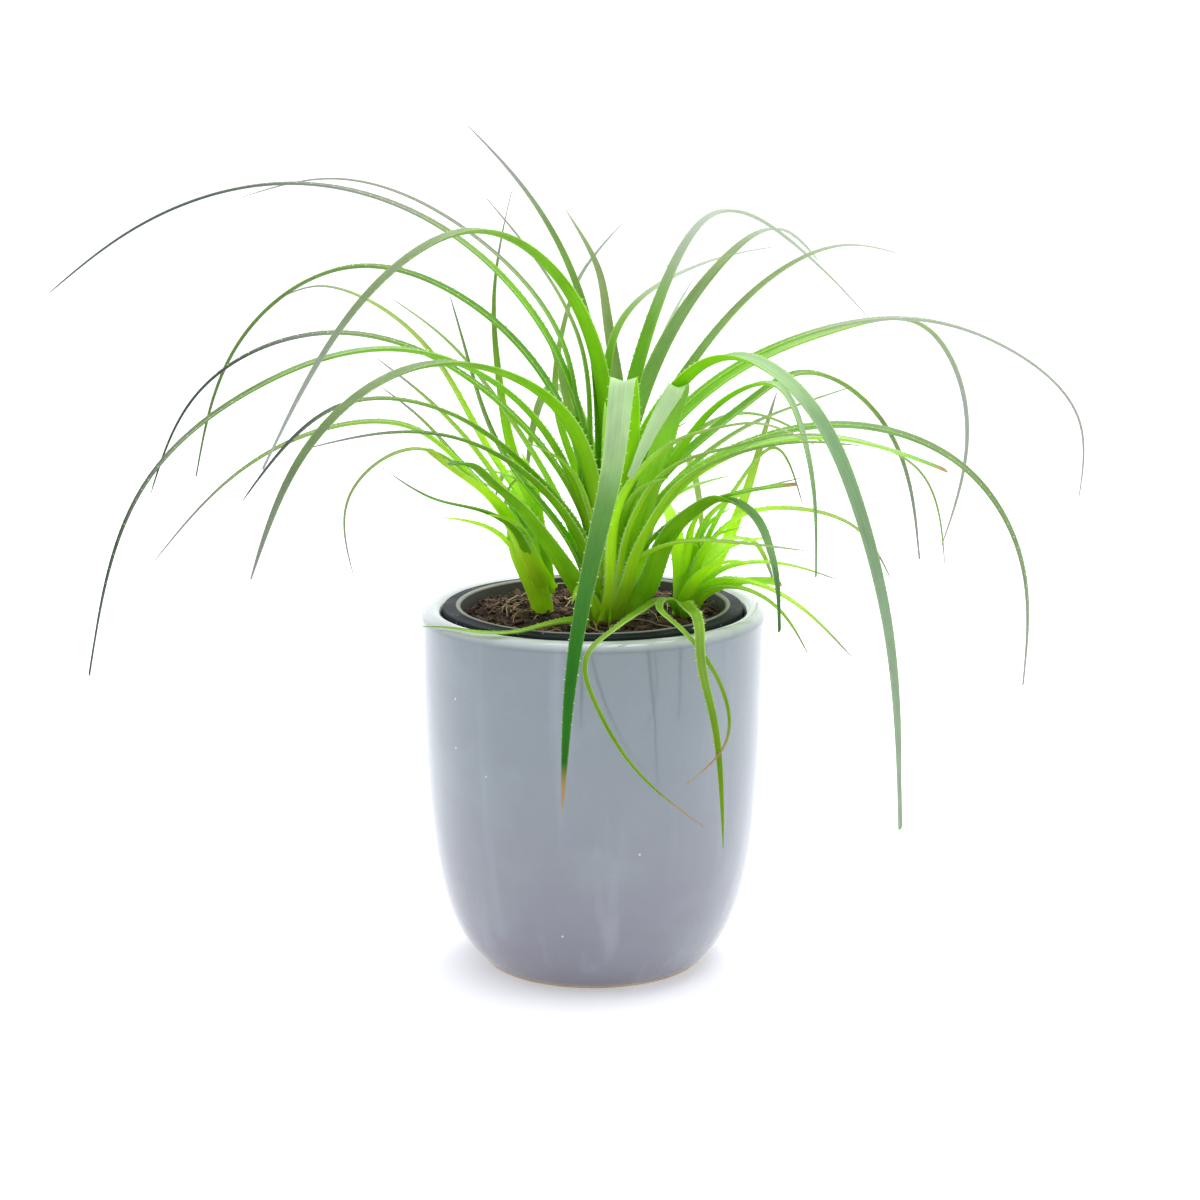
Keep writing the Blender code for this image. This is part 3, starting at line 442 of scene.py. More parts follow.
class AgaveStageSettings(bpy.types.PropertyGroup):
    """The studio: floor, light and camera."""

    floor: tint("Floor", "Colour of the floor", (0.92, 0.92, 0.94))
    surround: FloatProperty(name="Surround", description="Brightness of the white surroundings",
                            default=1.35, min=0.0)
    front: FloatProperty(name="Front", description="Brightness of the surroundings behind the camera",
                         default=0.55, min=0.0)
    floor_glow: FloatProperty(name="Floor Glow", description="Light that comes up through the floor",
                              default=0.22, min=0.0)
    top_light: FloatProperty(name="Top Light", description="Power of the large light overhead",
                             default=24.0, unit="POWER")
    lens: FloatProperty(name="Lens", description="Focal length of the camera in millimetres",
                        default=85.7)
    distance: FloatProperty(name="Distance", description="From the camera to the point it looks at",
                            default=1.2, unit="LENGTH")
    pitch: FloatProperty(name="Pitch", description="How far the camera looks down",
                         default=math.radians(12.3), subtype="ANGLE")


class Tree:
    """Short calls that fill a node tree."""

    def __init__(self, tree):
        self.tree = tree

    def node(self, kind, inputs=None, **settings):
        made = self.tree.nodes.new(kind)
        for key, value in settings.items():
            setattr(made, key, value)
        for key, value in (inputs or {}).items():
            self.feed(made.inputs[key], value)
        return made

    def feed(self, socket, value):
        """Links an output to the socket, or sets its value, with a full alpha where a colour has none."""
        if isinstance(value, bpy.types.NodeSocket):
            self.tree.links.new(value, socket)
            return
        if hasattr(value, "__len__"):
            value = (*value, 1.0)[:len(socket.default_value)]
        socket.default_value = value

    def math(self, operation, first, second):
        return self.node("ShaderNodeMath", {0: first, 1: second}, operation=operation).outputs[0]

    def times(self, first, second):
        return self.math("MULTIPLY", first, second)

    def plus(self, first, second):
        return self.math("ADD", first, second)

    def minus(self, first, second):
        return self.math("SUBTRACT", first, second)

    def less(self, first, second):
        return self.math("LESS_THAN", first, second)

    def mix(self, factor, first, second, blend="MIX"):
        made = self.node("ShaderNodeMix", {0: factor, 6: first, 7: second}, data_type="RGBA",
                         blend_type=blend, clamp_factor=True)
        return made.outputs[2]

    def between(self, value, low, high, to_low=0.0, to_high=1.0, smooth=True):
        """Maps value from low..high to to_low..to_high, held at its ends."""
        kind = "SMOOTHSTEP" if smooth else "LINEAR"
        made = self.node("ShaderNodeMapRange", {0: value, 1: low, 2: high, 3: to_low, 4: to_high},
                         interpolation_type=kind, clamp=True)
        return made.outputs[0]

    def noise(self, vector, scale, detail=3.0, roughness=0.5, distortion=0.0):
        made = self.node("ShaderNodeTexNoise", {"Vector": vector, "Scale": scale, "Detail": detail,
                                                "Roughness": roughness, "Distortion": distortion})
        return made.outputs["Fac"]

    def value_of(self, name):
        """The number of that name that is kept in the mesh."""
        return self.node("ShaderNodeAttribute", attribute_name=name).outputs["Fac"]

    def group(self, name, build, **inputs):
        """The shared group of that name, built the first time that a material asks for it."""
        made = self.node("ShaderNodeGroup")
        made.node_tree = bpy.data.node_groups.get(name) or build(name)
        for key, value in inputs.items():
            self.feed(made.inputs[key.replace("_", " ").title()], value)
        return made.outputs

    def bump(self, height, strength, depth):
        """A normal from a height, for relief of a depth in millimetres."""
        made = self.node("ShaderNodeBump", {"Height": height, "Strength": strength,
                                            "Distance": depth * MM})
        return made.outputs["Normal"]


def new_group(name, inputs, outputs):
    """An empty shader group with its named sockets, and the Tree that fills it."""
    group = bpy.data.node_groups.new(name, "ShaderNodeTree")
    for label, kind, value in inputs:
        socket = group.interface.new_socket(label, in_out="INPUT", socket_type=kind)
        if value is not None:
            socket.default_value = value
    for label, kind in outputs:
        group.interface.new_socket(label, in_out="OUTPUT", socket_type=kind)
    tree = Tree(group)
    return group, tree, tree.node("NodeGroupInput").outputs, tree.node("NodeGroupOutput").inputs


def build_mottle(name):
    """Soft patches and fine grain that lighten and darken a colour."""
    group, tree, given, out = new_group(
        name,
        (("Color", "NodeSocketColor", (0.5, 0.5, 0.5, 1.0)), ("Vector", "NodeSocketVector", None),
         ("Patch Scale", "NodeSocketFloat", 20.0), ("Grain Scale", "NodeSocketFloat", 400.0),
         ("Amount", "NodeSocketFloat", 0.15)),
        (("Color", "NodeSocketColor"), ("Height", "NodeSocketFloat")))
    patch = tree.noise(given["Vector"], given["Patch Scale"], 4.0, 0.55)
    grain = tree.noise(given["Vector"], given["Grain Scale"], 2.0)
    height = tree.plus(tree.times(patch, 0.7), tree.times(grain, 0.3))
    shade = tree.plus(1.0, tree.times(tree.minus(height, 0.5), tree.times(given["Amount"], 4.0)))
    grey = tree.node("ShaderNodeCombineColor", {"Red": shade, "Green": shade, "Blue": shade})
    tree.feed(out["Color"], tree.mix(1.0, given["Color"], grey.outputs[0], "MULTIPLY"))
    tree.feed(out["Height"], height)
    return group


def build_specks(name):
    """A mask of small round specks, sparse where Keep is small."""
    group, tree, given, out = new_group(
        name,
        (("Vector", "NodeSocketVector", None), ("Scale", "NodeSocketFloat", 100.0),
         ("Size", "NodeSocketFloat", 0.15), ("Keep", "NodeSocketFloat", 0.1)),
        (("Mask", "NodeSocketFloat"),))
    cells = tree.node("ShaderNodeTexVoronoi", {"Vector": given["Vector"], "Scale": given["Scale"]})
    lottery = tree.node("ShaderNodeSeparateColor", {0: cells.outputs["Color"]}).outputs[0]
    dot = tree.less(cells.outputs["Distance"], given["Size"])
    tree.feed(out["Mask"], tree.times(dot, tree.less(lottery, given["Keep"])))
    return group


def mottled(tree, spot, colour, patch, grain, amount):
    """The colour with soft patches and fine grain, at scales per metre, and the height of its grain."""
    made = tree.group("Fine Mottle", build_mottle, color=colour, vector=spot, patch_scale=patch,
                      grain_scale=grain, amount=amount)
    return made["Color"], made["Height"]


def specked(tree, spot, colour, speck, scale, size, keep, strength):
    """The colour with small round specks, of a size in cells of that scale, in a share of the cells."""
    mask = tree.group("Specks", build_specks, vector=spot, scale=scale, size=size, keep=keep)["Mask"]
    return tree.mix(tree.times(mask, strength), colour, speck)


def new_material(name):
    """A material with its Principled shader, and the Tree that fills it."""
    made = bpy.data.materials.new(name)
    made.use_nodes = True
    return made, Tree(made.node_tree), made.node_tree.nodes["Principled BSDF"]


def dress(tree, shader, colour, roughness, normal):
    """Feeds the shader's main sockets."""
    for name, value in (("Base Color", colour), ("Roughness", roughness), ("Normal", normal)):
        tree.feed(shader.inputs[name], value)


def place_of(tree):
    """The place of a point on the piece, and its height."""
    spot = tree.node("ShaderNodeTexCoord").outputs["Object"]
    return spot, tree.node("ShaderNodeSeparateXYZ", {0: spot}).outputs["Z"]


def stretched(tree, spot, across, along):
    """The place with its height squeezed, for runs and streaks."""
    return tree.node("ShaderNodeMapping", {"Vector": spot, "Scale": (across, across, along)}).outputs[0]


def scratches(tree, spot):
    """A mask of hair lines along the edges of bent cells, in patches."""
    warp = tree.node("ShaderNodeTexNoise", {"Vector": spot, "Scale": 22.0, "Detail": 1.0})
    shift = tree.node("ShaderNodeVectorMath", {0: warp.outputs["Color"], "Scale": 0.02},
                      operation="SCALE")
    bent = tree.node("ShaderNodeVectorMath", {0: spot, 1: shift.outputs[0]}, operation="ADD")
    lines = tree.node("ShaderNodeTexVoronoi", {"Vector": bent.outputs[0], "Scale": 30.0},
                      feature="DISTANCE_TO_EDGE").outputs["Distance"]
    return tree.times(tree.less(lines, 0.003), tree.between(tree.noise(spot, 16.0, 1.0), 0.58, 0.66))


def glaze_material(pot):
    """Blue-grey glaze, more violet towards the foot, with runs, clouds, specks and fine scratches, and a
    painted highlight on its lip.
    """
    made, tree, shader = new_material("blue_grey_glaze")
    spot, height = place_of(tree)
    colour = tree.mix(tree.between(height, 0.0, POT_SHOULDER * MM), pot.glaze_low, pot.glaze_high)
    runs = tree.noise(stretched(tree, spot, 60.0, 5.0), 1.0)
    colour = tree.mix(tree.between(runs, 0.52, 0.75, 0.0, 0.35), colour, pot.glaze_run)
    cloud = tree.noise(spot, 28.0, 2.0)
    colour = tree.mix(tree.between(cloud, 0.50, 0.68, 0.0, 0.32), colour, pot.glaze_cloud)
    # Painted highlight: the top of the lip is mixed towards a pale grey, for the light that it catches.
    lip = tree.between(height, (POT_HEIGHT - 4.5) * MM, (POT_HEIGHT - 0.5) * MM, 0.0, 0.8)
    colour, grain = mottled(tree, spot, tree.mix(lip, colour, pot.lip), 45.0, 900.0, 0.05)
    scratch = scratches(tree, spot)
    colour = tree.mix(tree.times(scratch, 0.05), colour, pot.scratch)
    colour = specked(tree, spot, colour, pot.speck, 160.0, 0.09, 0.05, 0.4)
    dimples = tree.noise(spot, 60.0, 2.0)
    relief = tree.plus(tree.times(dimples, 0.8), tree.times(grain, 0.1))
    relief = tree.minus(relief, tree.times(scratch, 0.08))
    dress(tree, shader, colour, tree.between(cloud, 0.3, 0.7, 0.12, 0.22), tree.bump(relief, 0.5, 0.4))
    shader.inputs["Coat Weight"].default_value = 0.6
    shader.inputs["Coat Roughness"].default_value = 0.08
    shader.inputs["IOR"].default_value = 1.52
    return made


def clay_material(pot):
    """Bare clay of the foot ring and underside."""
    made, tree, shader = new_material("bare_clay")
    spot, _ = place_of(tree)
    colour, grain = mottled(tree, spot, pot.clay, 60.0, 1500.0, 0.2)
    colour = specked(tree, spot, colour, pot.pit, 700.0, 0.3, 0.2, 0.5)
    dress(tree, shader, colour, 0.9, tree.bump(grain, 0.6, 0.4))
    return made


def plastic_material(pot):
    """Matt black plastic, with a painted highlight in patches along its bead, and dusty on the inside."""
    made, tree, shader = new_material("black_nursery_plastic")
    spot, height = place_of(tree)
    level = tree.node("ShaderNodeVectorMath", {0: spot, 1: (1.0, 1.0, 0.0)}, operation="MULTIPLY")
    radius = tree.node("ShaderNodeVectorMath", {0: level.outputs[0]}, operation="LENGTH").outputs["Value"]
    # The top of the bead is painted light grey in patches, a painted highlight where the rolled edge
    # catches the light.
    bead = tree.times(
        tree.between(height, (LINER_TOP - 0.3) * MM, (LINER_TOP + 0.4) * MM),
        tree.between(radius, (LINER_TOP_RADIUS + 1.0) * MM, (LINER_TOP_RADIUS + 0.4) * MM))
    highlight_patches = tree.between(tree.noise(spot, 90.0, 4.0), 0.25, 0.45, 0.45, 1.0)
    inside = tree.times(
        tree.between(radius, (LINER_TOP_RADIUS - 0.3) * MM, (LINER_TOP_RADIUS - 1.3) * MM),
        tree.between(height, (LINER_TOP - 18.2) * MM, (LINER_TOP - 1.2) * MM, 0.15, 0.45))
    colour, grain = mottled(tree, spot, pot.plastic, 50.0, 1200.0, 0.25)
    colour = tree.mix(inside, colour, pot.soiled)
    colour = tree.mix(tree.times(bead, highlight_patches), colour, pot.bead_highlight)
    colour = specked(tree, spot, colour, pot.dust, 500.0, 0.22, 0.08, 0.6)
    dress(tree, shader, colour, tree.between(grain, 0.3, 0.7, 0.5, 0.7), tree.bump(grain, 0.35, 0.3))
    shader.inputs["Specular IOR Level"].default_value = 0.15
    return made


def peat_material(soil):
    """Dark peat with reddish and tan fibres."""
    made, tree, shader = new_material("dark_peat")
    spot, _ = place_of(tree)
    fibres = tree.noise(stretched(tree, spot, 500.0, 1500.0), 1.0, 4.0, 0.6, 1.5)
    colour = tree.mix(tree.between(fibres, 0.5, 0.72), soil.peat, soil.fibre)
    red = tree.noise(spot, 190.0, 3.0, 0.6)
    colour = tree.mix(tree.between(red, 0.56, 0.66, 0.0, 0.75), colour, soil.bark)
    colour, grain = mottled(tree, spot, colour, 120.0, 2500.0, 0.4)
    colour = specked(tree, spot, colour, soil.fleck, 420.0, 0.28, 0.06, 0.8)
    dress(tree, shader, colour, 0.95, tree.bump(grain, 1.0, 1.2))
    return made


def litter_material(name, dark, light, patch):
    """Peat, bark or straw, whose own shade is kept in each scrap's mesh."""
    made, tree, shader = new_material(name)
    spot, _ = place_of(tree)
    colour = tree.mix(tree.value_of("shade"), dark, light)
    colour, grain = mottled(tree, spot, colour, patch, patch * 6.0, 0.35)
    dress(tree, shader, colour, 0.85, tree.bump(grain, 0.8, 0.4))
    return made


def leaf_noise(tree, travel, across, down, *shape):
    """A noise over the leaf's own width and length, in scales per millimetre and per metre."""
    place = tree.node("ShaderNodeCombineXYZ", {0: tree.times(tree.value_of("lane"), across),
                                               1: tree.times(travel, down),
                                               2: tree.times(tree.value_of("tone"), 9.0)})
    return tree.noise(place.outputs[0], 1.0, *shape)


def leaf_greens(tree, leaf, travel, along):
    """Fresh green below and cooler above, whitish where the upper side lies level (glaucous wax with a
    painted highlight), darker down a long fall (painted shade), duller further out, and yellow-green at
    the root, brightened there by painted light for the light that shines through the crown.
    """
    fallen = tree.value_of("fallen")
    pale = tree.value_of("pale")
    below = tree.mix(tree.between(travel, 0.15, 0.30), leaf.vivid, leaf.olive)
    # Where the upper side lies level, near the top of its arch, it turns whitish: partly glaucous wax,
    # partly a painted highlight from the light overhead.
    above = tree.mix(tree.between(tree.value_of("slope"), 0.5, 0.0), leaf.inner, leaf.bloom_and_sheen)
    # Painted shade: past its top the upper side darkens from the waxy grey-green to a dark green the
    # further it falls.
    fall = tree.mix(tree.between(fallen, 0.03, 0.13), leaf.waxy, leaf.shaded_fall)
    fall = tree.mix(pale, fall, leaf.ashen)
    above = tree.mix(tree.between(fallen, 0.015, 0.060), above, fall)
    greys = tree.less(tree.value_of("grey"), (1.0 + NEVER) / 2.0)
    colour = tree.mix(tree.value_of("upper"), below, above)
    for mask, wash in (
            (tree.times(tree.value_of("mint"), tree.between(along, 0.1, 0.5, 0.0, 0.8)), leaf.mint),
            (tree.times(pale, tree.between(along, 0.45, 0.95, 0.0, 0.8)), leaf.silver),
            (tree.times(tree.value_of("fresh"), 0.85), leaf.fresh),
            (tree.times(tree.between(along, 0.3, 0.7, 0.0, 0.6), greys), leaf.dull),
            # Partly painted light: the bases are made bright yellow-green far up the leaf, for the light
            # that shines through the crown.
            (tree.between(travel, 0.012, 0.120, 0.9, 0.0), leaf.root)):
        colour = tree.mix(mask, colour, wash)
    return colour


def leaf_shade(tree, colour, veins, patches):
    """The colour made lighter and darker by the veins, by soft patches and by the leaf's own tone."""
    tone = tree.value_of("tone")
    shade = tree.times(tree.between(veins, 0.25, 0.75, 0.91, 1.09, smooth=False),
                       tree.between(patches, 0.3, 0.7, 0.90, 1.08, smooth=False))
    red = tree.plus(shade, tree.times(tone, 0.26))
    green = tree.plus(shade, tree.times(tone, 0.18))
    grey = tree.node("ShaderNodeCombineColor", {"Red": red, "Green": green, "Blue": red})
    return tree.mix(1.0, colour, grey.outputs[0], "MULTIPLY")


def leaf_end(tree, leaf, along):
    """The colour of a leaf's grey end: mauve, or slate where it is dark, or silver where it is pale."""
    darkened = tree.times(tree.between(along, 0.58, 0.80), tree.value_of("slate"))
    lightened = tree.times(tree.value_of("pale"), tree.minus(0.85, tree.times(darkened, 0.8)))
    return tree.mix(lightened, tree.mix(darkened, leaf.mauve, leaf.slate), leaf.silver)


def leaf_material(leaf):
    """Waxy leaf that lets light through, with veins, a grey end and pale margins and teeth."""
    made, tree, shader = new_material("agave_leaf")
    travel = tree.value_of("travel")
    along = tree.value_of("along")
    veins = leaf_noise(tree, travel, 1.3, 12.0, 3.0, 0.6)
    wrinkles = leaf_noise(tree, travel, 0.25, 900.0, 2.0)
    patches = leaf_noise(tree, travel, 0.15, 60.0, 3.0, 0.55)
    colour = leaf_shade(tree, leaf_greens(tree, leaf, travel, along), veins, patches)
    greyed = tree.between(tree.minus(along, tree.value_of("grey")), 0.0, 0.2, 0.0, 0.92)
    margin = tree.times(tree.between(tree.value_of("rim"), 0.45, 0.15),
                        tree.between(along, 0.3, 0.9, 0.8, 0.15))
    margin = tree.times(margin, tree.between(travel, 0.010, 0.030))
    for mask, wash in ((greyed, leaf_end(tree, leaf, along)), (margin, leaf.edge),
                       (tree.value_of("tooth"), leaf.edge), (tree.value_of("dry"), leaf.dry)):
        colour = tree.mix(mask, colour, wash)
    relief = tree.plus(tree.times(veins, 0.6), tree.times(wrinkles, 0.4))
    dress(tree, shader, colour, tree.between(veins, 0.3, 0.7, 0.36, 0.52, smooth=False),
          tree.bump(relief, 0.35, 0.3))
    shader.inputs["Specular IOR Level"].default_value = 0.22
    shader.inputs["Specular Tint"].default_value = (0.9, 1.0, 0.5, 1.0)
    lit = tree.times(tree.minus(1.0, greyed), tree.between(along, 0.15, 0.55, 0.48, 0.12))
    through = tree.node("ShaderNodeBsdfTranslucent", {"Color": tree.mix(lit, colour, leaf.lit)})
    blend = tree.node("ShaderNodeMixShader", {0: leaf.glow, 1: shader.outputs[0],
                                              2: through.outputs[0]})
    tree.feed(made.node_tree.nodes["Material Output"].inputs["Surface"], blend.outputs[0])
    return made


def floor_material(stage):
    """Pale seamless paper."""
    made, tree, shader = new_material("pale_floor")
    spot, _ = place_of(tree)
    colour, _ = mottled(tree, spot, stage.floor, 2.0, 600.0, 0.01)
    tree.feed(shader.inputs["Base Color"], colour)
    shader.inputs["Roughness"].default_value = 0.8
    shader.inputs["Emission Color"].default_value = (1.0, 1.0, 1.0, 1.0)
    shader.inputs["Emission Strength"].default_value = stage.floor_glow
    return made


def link_object(name, data):
    obj = bpy.data.objects.new(name, data)
    bpy.context.scene.collection.objects.link(obj)
    return obj


def new_piece(name, points, faces, materials, sharp):
    """A shaded mesh in metres from points in millimetres, riding on the plant's one body."""
    mesh = bpy.data.meshes.new(name)
    mesh.from_pydata(np.asarray(points, dtype=float) * MM, [], faces)
    for finish in materials:
        mesh.materials.append(finish)
    mesh.shade_smooth()
    mesh.set_sharp_from_angle(angle=math.radians(sharp))
    obj = link_object(name, mesh)
    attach(obj, BODY)
    return obj


def keep_values(mesh, domain, values):
    """Keeps numbers in the mesh, for its material to read."""
    for name, numbers in values.items():
        attribute = mesh.attributes.new(name, "FLOAT", domain)
        attribute.data.foreach_set("value", np.asarray(numbers, dtype=np.float32))


def ramp(value, start, length):
    """0 up to start, 1 from start + length on, and a straight slope between."""
    return min(max((value - start) / length, 0.0), 1.0)


def lerp(ends, share):
    return ends[0] + (ends[1] - ends[0]) * share


def unit(vectors):
    return vectors / np.linalg.norm(vectors, axis=1)[:, None]


def layered_noise(spot, layers):
    return sum(strength * noise.noise(spot / size) for size, strength in layers)


def smooth_curve(points, count):
    """Points along the natural cubic spline through the given ones."""
    points = np.array(points, dtype=float)
    lengths = np.linalg.norm(np.diff(points, axis=0), axis=1)
    knots = np.concatenate(([0.0], np.cumsum(lengths)))
    last = len(points) - 1
    system = np.eye(last + 1)
    slopes = np.diff(points, axis=0) / lengths[:, None]
    change = np.zeros_like(points)
    for i in range(1, last):
        system[i, i - 1] = lengths[i - 1]
        system[i, i] = 2.0 * (lengths[i - 1] + lengths[i])
        system[i, i + 1] = lengths[i]
        change[i] = 6.0 * (slopes[i] - slopes[i - 1])
    bend = np.linalg.solve(system, change)
    s = np.linspace(0.0, knots[-1], count)
    i = np.clip(np.searchsorted(knots, s, side="right") - 1, 0, last - 1)
    h = lengths[i][:, None]
    a = (knots[i + 1] - s)[:, None] / h
    b = 1.0 - a
    curve = ((a ** 3 - a) * bend[i] + (b ** 3 - b) * bend[i + 1]) * h * h / 6.0
    return a * points[i] + b * points[i + 1] + curve


def arc(centre, radius, start, stop, steps):
    """Points of an arc in the profile's plane, with angles in degrees from the outward direction."""
    turns = [math.radians(start + (stop - start) * i / steps) for i in range(steps + 1)]
    return [(centre[0] + radius * math.cos(t), centre[1] + radius * math.sin(t)) for t in turns]


def turned(profile, segments, move=None):
    """Points and faces of a profile of (radius, height) turned round, with its ends on the axis."""
    points = []
    rings = []
    for radius, height in profile:
        ring = []
        for k in range(segments if radius else 1):
            turn = math.tau * k / segments
            spot = Vector((radius * math.cos(turn), radius * math.sin(turn), height))
            if move and radius:
                spot = move(spot)
            ring.append(len(points))
            points.append(tuple(spot))
        rings.append(ring)
    faces = []
    for lower, upper in zip(rings, rings[1:]):
        for k in range(segments):
            corners = (lower[k % len(lower)], lower[(k + 1) % len(lower)],
                       upper[(k + 1) % len(upper)], upper[k % len(upper)])
            faces.append(tuple(dict.fromkeys(corners)))
    return points, faces


def tube_faces(rows, ring, clockwise=False):
    """Faces of a closed tube of rings: its wall, row by row, and its two ends."""
    pairs = [(i * ring + k, i * ring + (k + 1) % ring) for i in range(rows - 1) for k in range(ring)]
    first = tuple(range(ring))
    last = tuple(range((rows - 1) * ring, rows * ring))
    if clockwise:
        return [(a, a + ring, b + ring, b) for a, b in pairs] + [first, last[::-1]]
    return [(a, b, b + ring, a + ring) for a, b in pairs] + [first[::-1], last]


def strayed(spot, size, strength):
    """The spot moved towards or away from the axis by a soft noise."""
    return spot + Vector((spot.x, spot.y, 0.0)).normalized() * noise.noise(spot / size) * strength


def make_glazed_pot(pot):
    """The thrown pot: bare foot, swelling side, rounded lip and plain inside."""
    lip_radius = (POT_RADIUS - POT_MOUTH_RADIUS) / 2.0
    foot_height = pot.foot_height / MM
    side = [tuple(p) for p in smooth_curve(POT_SIDE, POT_SIDE_STEPS)]
    bare = [p for p in side if p[1] < foot_height] + [(POT_FOOT_RADIUS + foot_height, foot_height)]
    edge = (bare[-1][0] + GLAZE_EDGE[0], foot_height + GLAZE_EDGE[1])
    glazed = [p for p in side if p[1] > foot_height + GLAZE_EDGE_GAP]
    lip = arc((POT_RADIUS - lip_radius, POT_HEIGHT - lip_radius), lip_radius, 0.0, 180.0, POT_LIP_STEPS)
    inside = [tuple(p) for p in smooth_curve(POT_INSIDE, POT_INSIDE_STEPS)]
    profile = [(0.0, 0.0), *bare, edge, *glazed, *lip, *inside, (0.0, POT_FLOOR)]

    def wobble(spot):
        return strayed(spot, POT_WOBBLE_SIZE, ramp(spot.z, *POT_WOBBLE_RISE) * pot.wobble / MM)

    points, faces = turned(profile, pot.segments, wobble)
    piece = new_piece("glazed_pot", points, faces, (glaze_material(pot), clay_material(pot)),
                      50.0)
    for polygon in piece.data.polygons[:pot.segments * len(bare)]:
        polygon.material_index = 1
    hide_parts("ceramic_pot")


def liner_inner_radius(height):
    """Inner radius of the nursery pot's tapered wall."""
    share = (height - LINER_BASE) / (LINER_TOP - LINER_BASE)
    return lerp((LINER_FOOT_RADIUS, LINER_TOP_RADIUS), share) - LINER_WALL


def cut_drains(piece):
    """Cuts the drain holes through the floor of the nursery pot."""
    bm = bmesh.new()
    for k in range(DRAIN_HOLES):
        turn = math.tau * k / DRAIN_HOLES
        made = bmesh.ops.create_cone(bm, cap_ends=True, segments=DRAIN_SEGMENTS, depth=DRAIN_CUT * MM,
                                     radius1=DRAIN_RADIUS * MM, radius2=DRAIN_RADIUS * MM)
        place = Vector((DRAIN_CIRCLE * math.cos(turn), DRAIN_CIRCLE * math.sin(turn), LINER_BASE))
        bmesh.ops.translate(bm, vec=place * MM, verts=made["verts"])
    mesh = bpy.data.meshes.new("drain_cutter")
    bm.to_mesh(mesh)
    bm.free()
    cutter = link_object("drain_cutter", mesh)
    modifier = piece.modifiers.new("drains", "BOOLEAN")
    modifier.object = cutter
    modifier.operation = "DIFFERENCE"
    with bpy.context.temp_override(object=piece, active_object=piece):
        bpy.ops.object.modifier_apply(modifier=modifier.name)
    bpy.data.objects.remove(cutter, do_unlink=True)


def make_nursery_pot(pot):
    """The thin plastic pot: tapered wall, flange with a skirt, and a rolled bead at its mouth."""
    under = LINER_TOP - LINER_WALL
    floor = LINER_BASE + LINER_WALL
    inner = liner_inner_radius(LINER_TOP)
    skirt = LINER_TOP - LINER_SKIRT
    bead = LINER_BEAD_WIDTH / 2.0
    bead_foot = (inner + LINER_BEAD_WIDTH + LINER_BEAD_FOOT[0], LINER_TOP - LINER_BEAD_FOOT[1])
    outer_heights = np.linspace(LINER_SIDE_START, under, LINER_SIDE_STEPS)
    inner_heights = np.linspace(LINER_TOP - LINER_MOUTH_DROP, floor, LINER_SIDE_STEPS)
    profile = [
        (0.0, LINER_BASE), (LINER_FOOT_RADIUS - LINER_FOOT_BEVEL, LINER_BASE),
        (LINER_FOOT_RADIUS, LINER_BASE + LINER_FOOT_BEVEL),
        *[(liner_inner_radius(z) + LINER_WALL, z) for z in outer_heights],
        (LINER_RIM_RADIUS - LINER_WALL, under), (LINER_RIM_RADIUS - LINER_WALL, skirt),
        (LINER_RIM_RADIUS, skirt),
        *arc((LINER_RIM_RADIUS - LINER_EDGE, LINER_TOP - LINER_EDGE), LINER_EDGE, 0.0, 90.0,
             LINER_EDGE_STEPS),
        bead_foot,
        *arc((inner + bead, LINER_TOP + LINER_BEAD - bead), bead, 40.0, 180.0, LINER_BEAD_STEPS),
        *[(liner_inner_radius(z), z) for z in inner_heights],
        (0.0, floor)]

    def wobble(spot):
        return strayed(spot, LINER_WOBBLE_SIZE, LINER_WOBBLE * ramp(spot.z, *LINER_WOBBLE_RISE))

    points, faces = turned(profile, pot.segments, wobble)
    piece = new_piece("nursery_pot_shell", points, faces, (plastic_material(pot),),
                      40.0)
    cut_drains(piece)
    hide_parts("nursery_pot")


def soil_height(x, y):
    """Height of the soil's crumbly top, a little lower at the wall of the pot."""
    edge = math.hypot(x, y) / LINER_TOP_RADIUS
    crumb = layered_noise(Vector((x, y, SOIL_HEIGHT)), SOIL_LUMPS)
    return SOIL_HEIGHT - SOIL_EDGE_DROP * edge ** 3 + SOIL_RELIEF * crumb


def fine_soil_height(x, y):
    return soil_height(x, y) + layered_noise(Vector((x, y, 0.0)), SOIL_GRAINS)


def make_soil(soil):
    """The soil as one closed body with a rough top, calmer at its edge."""
    bottom = LINER_BASE + LINER_WALL + SOIL_GAP
    calm = SOIL_HEIGHT - SOIL_EDGE_DROP
    rim = liner_inner_radius(calm) - SOIL_RIM_GAP
    profile = [(0.0, bottom), (liner_inner_radius(bottom) - SOIL_GAP, bottom)]
    profile += [(rim * k / SOIL_RINGS, SOIL_HEIGHT) for k in range(SOIL_RINGS, -1, -1)]

    def roughen(spot):
        if spot.z < SOIL_HEIGHT:
            return spot
        edge = min((rim - math.hypot(spot.x, spot.y)) / SOIL_CALM_WIDTH, 1.0)
        rough = (fine_soil_height(spot.x, spot.y) - calm) * max(edge, SOIL_CALM_SHARE)
        return Vector((spot.x, spot.y, calm + rough))

    points, faces = turned(profile, SOIL_SEGMENTS, roughen)
    points[-1] = (0.0, 0.0, fine_soil_height(0.0, 0.0))
    piece = new_piece("soil_body", points, faces, (peat_material(soil),), 60.0)
    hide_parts("soil")


def ball(subdivisions):
    """Points and faces of an icosphere of radius 1."""
    bm = bmesh.new()
    bmesh.ops.create_icosphere(bm, subdivisions=subdivisions, radius=1.0)
    points = np.array([v.co for v in bm.verts])
    faces = np.array([[v.index for v in f.verts] for f in bm.faces])
    bm.free()
    return points, faces


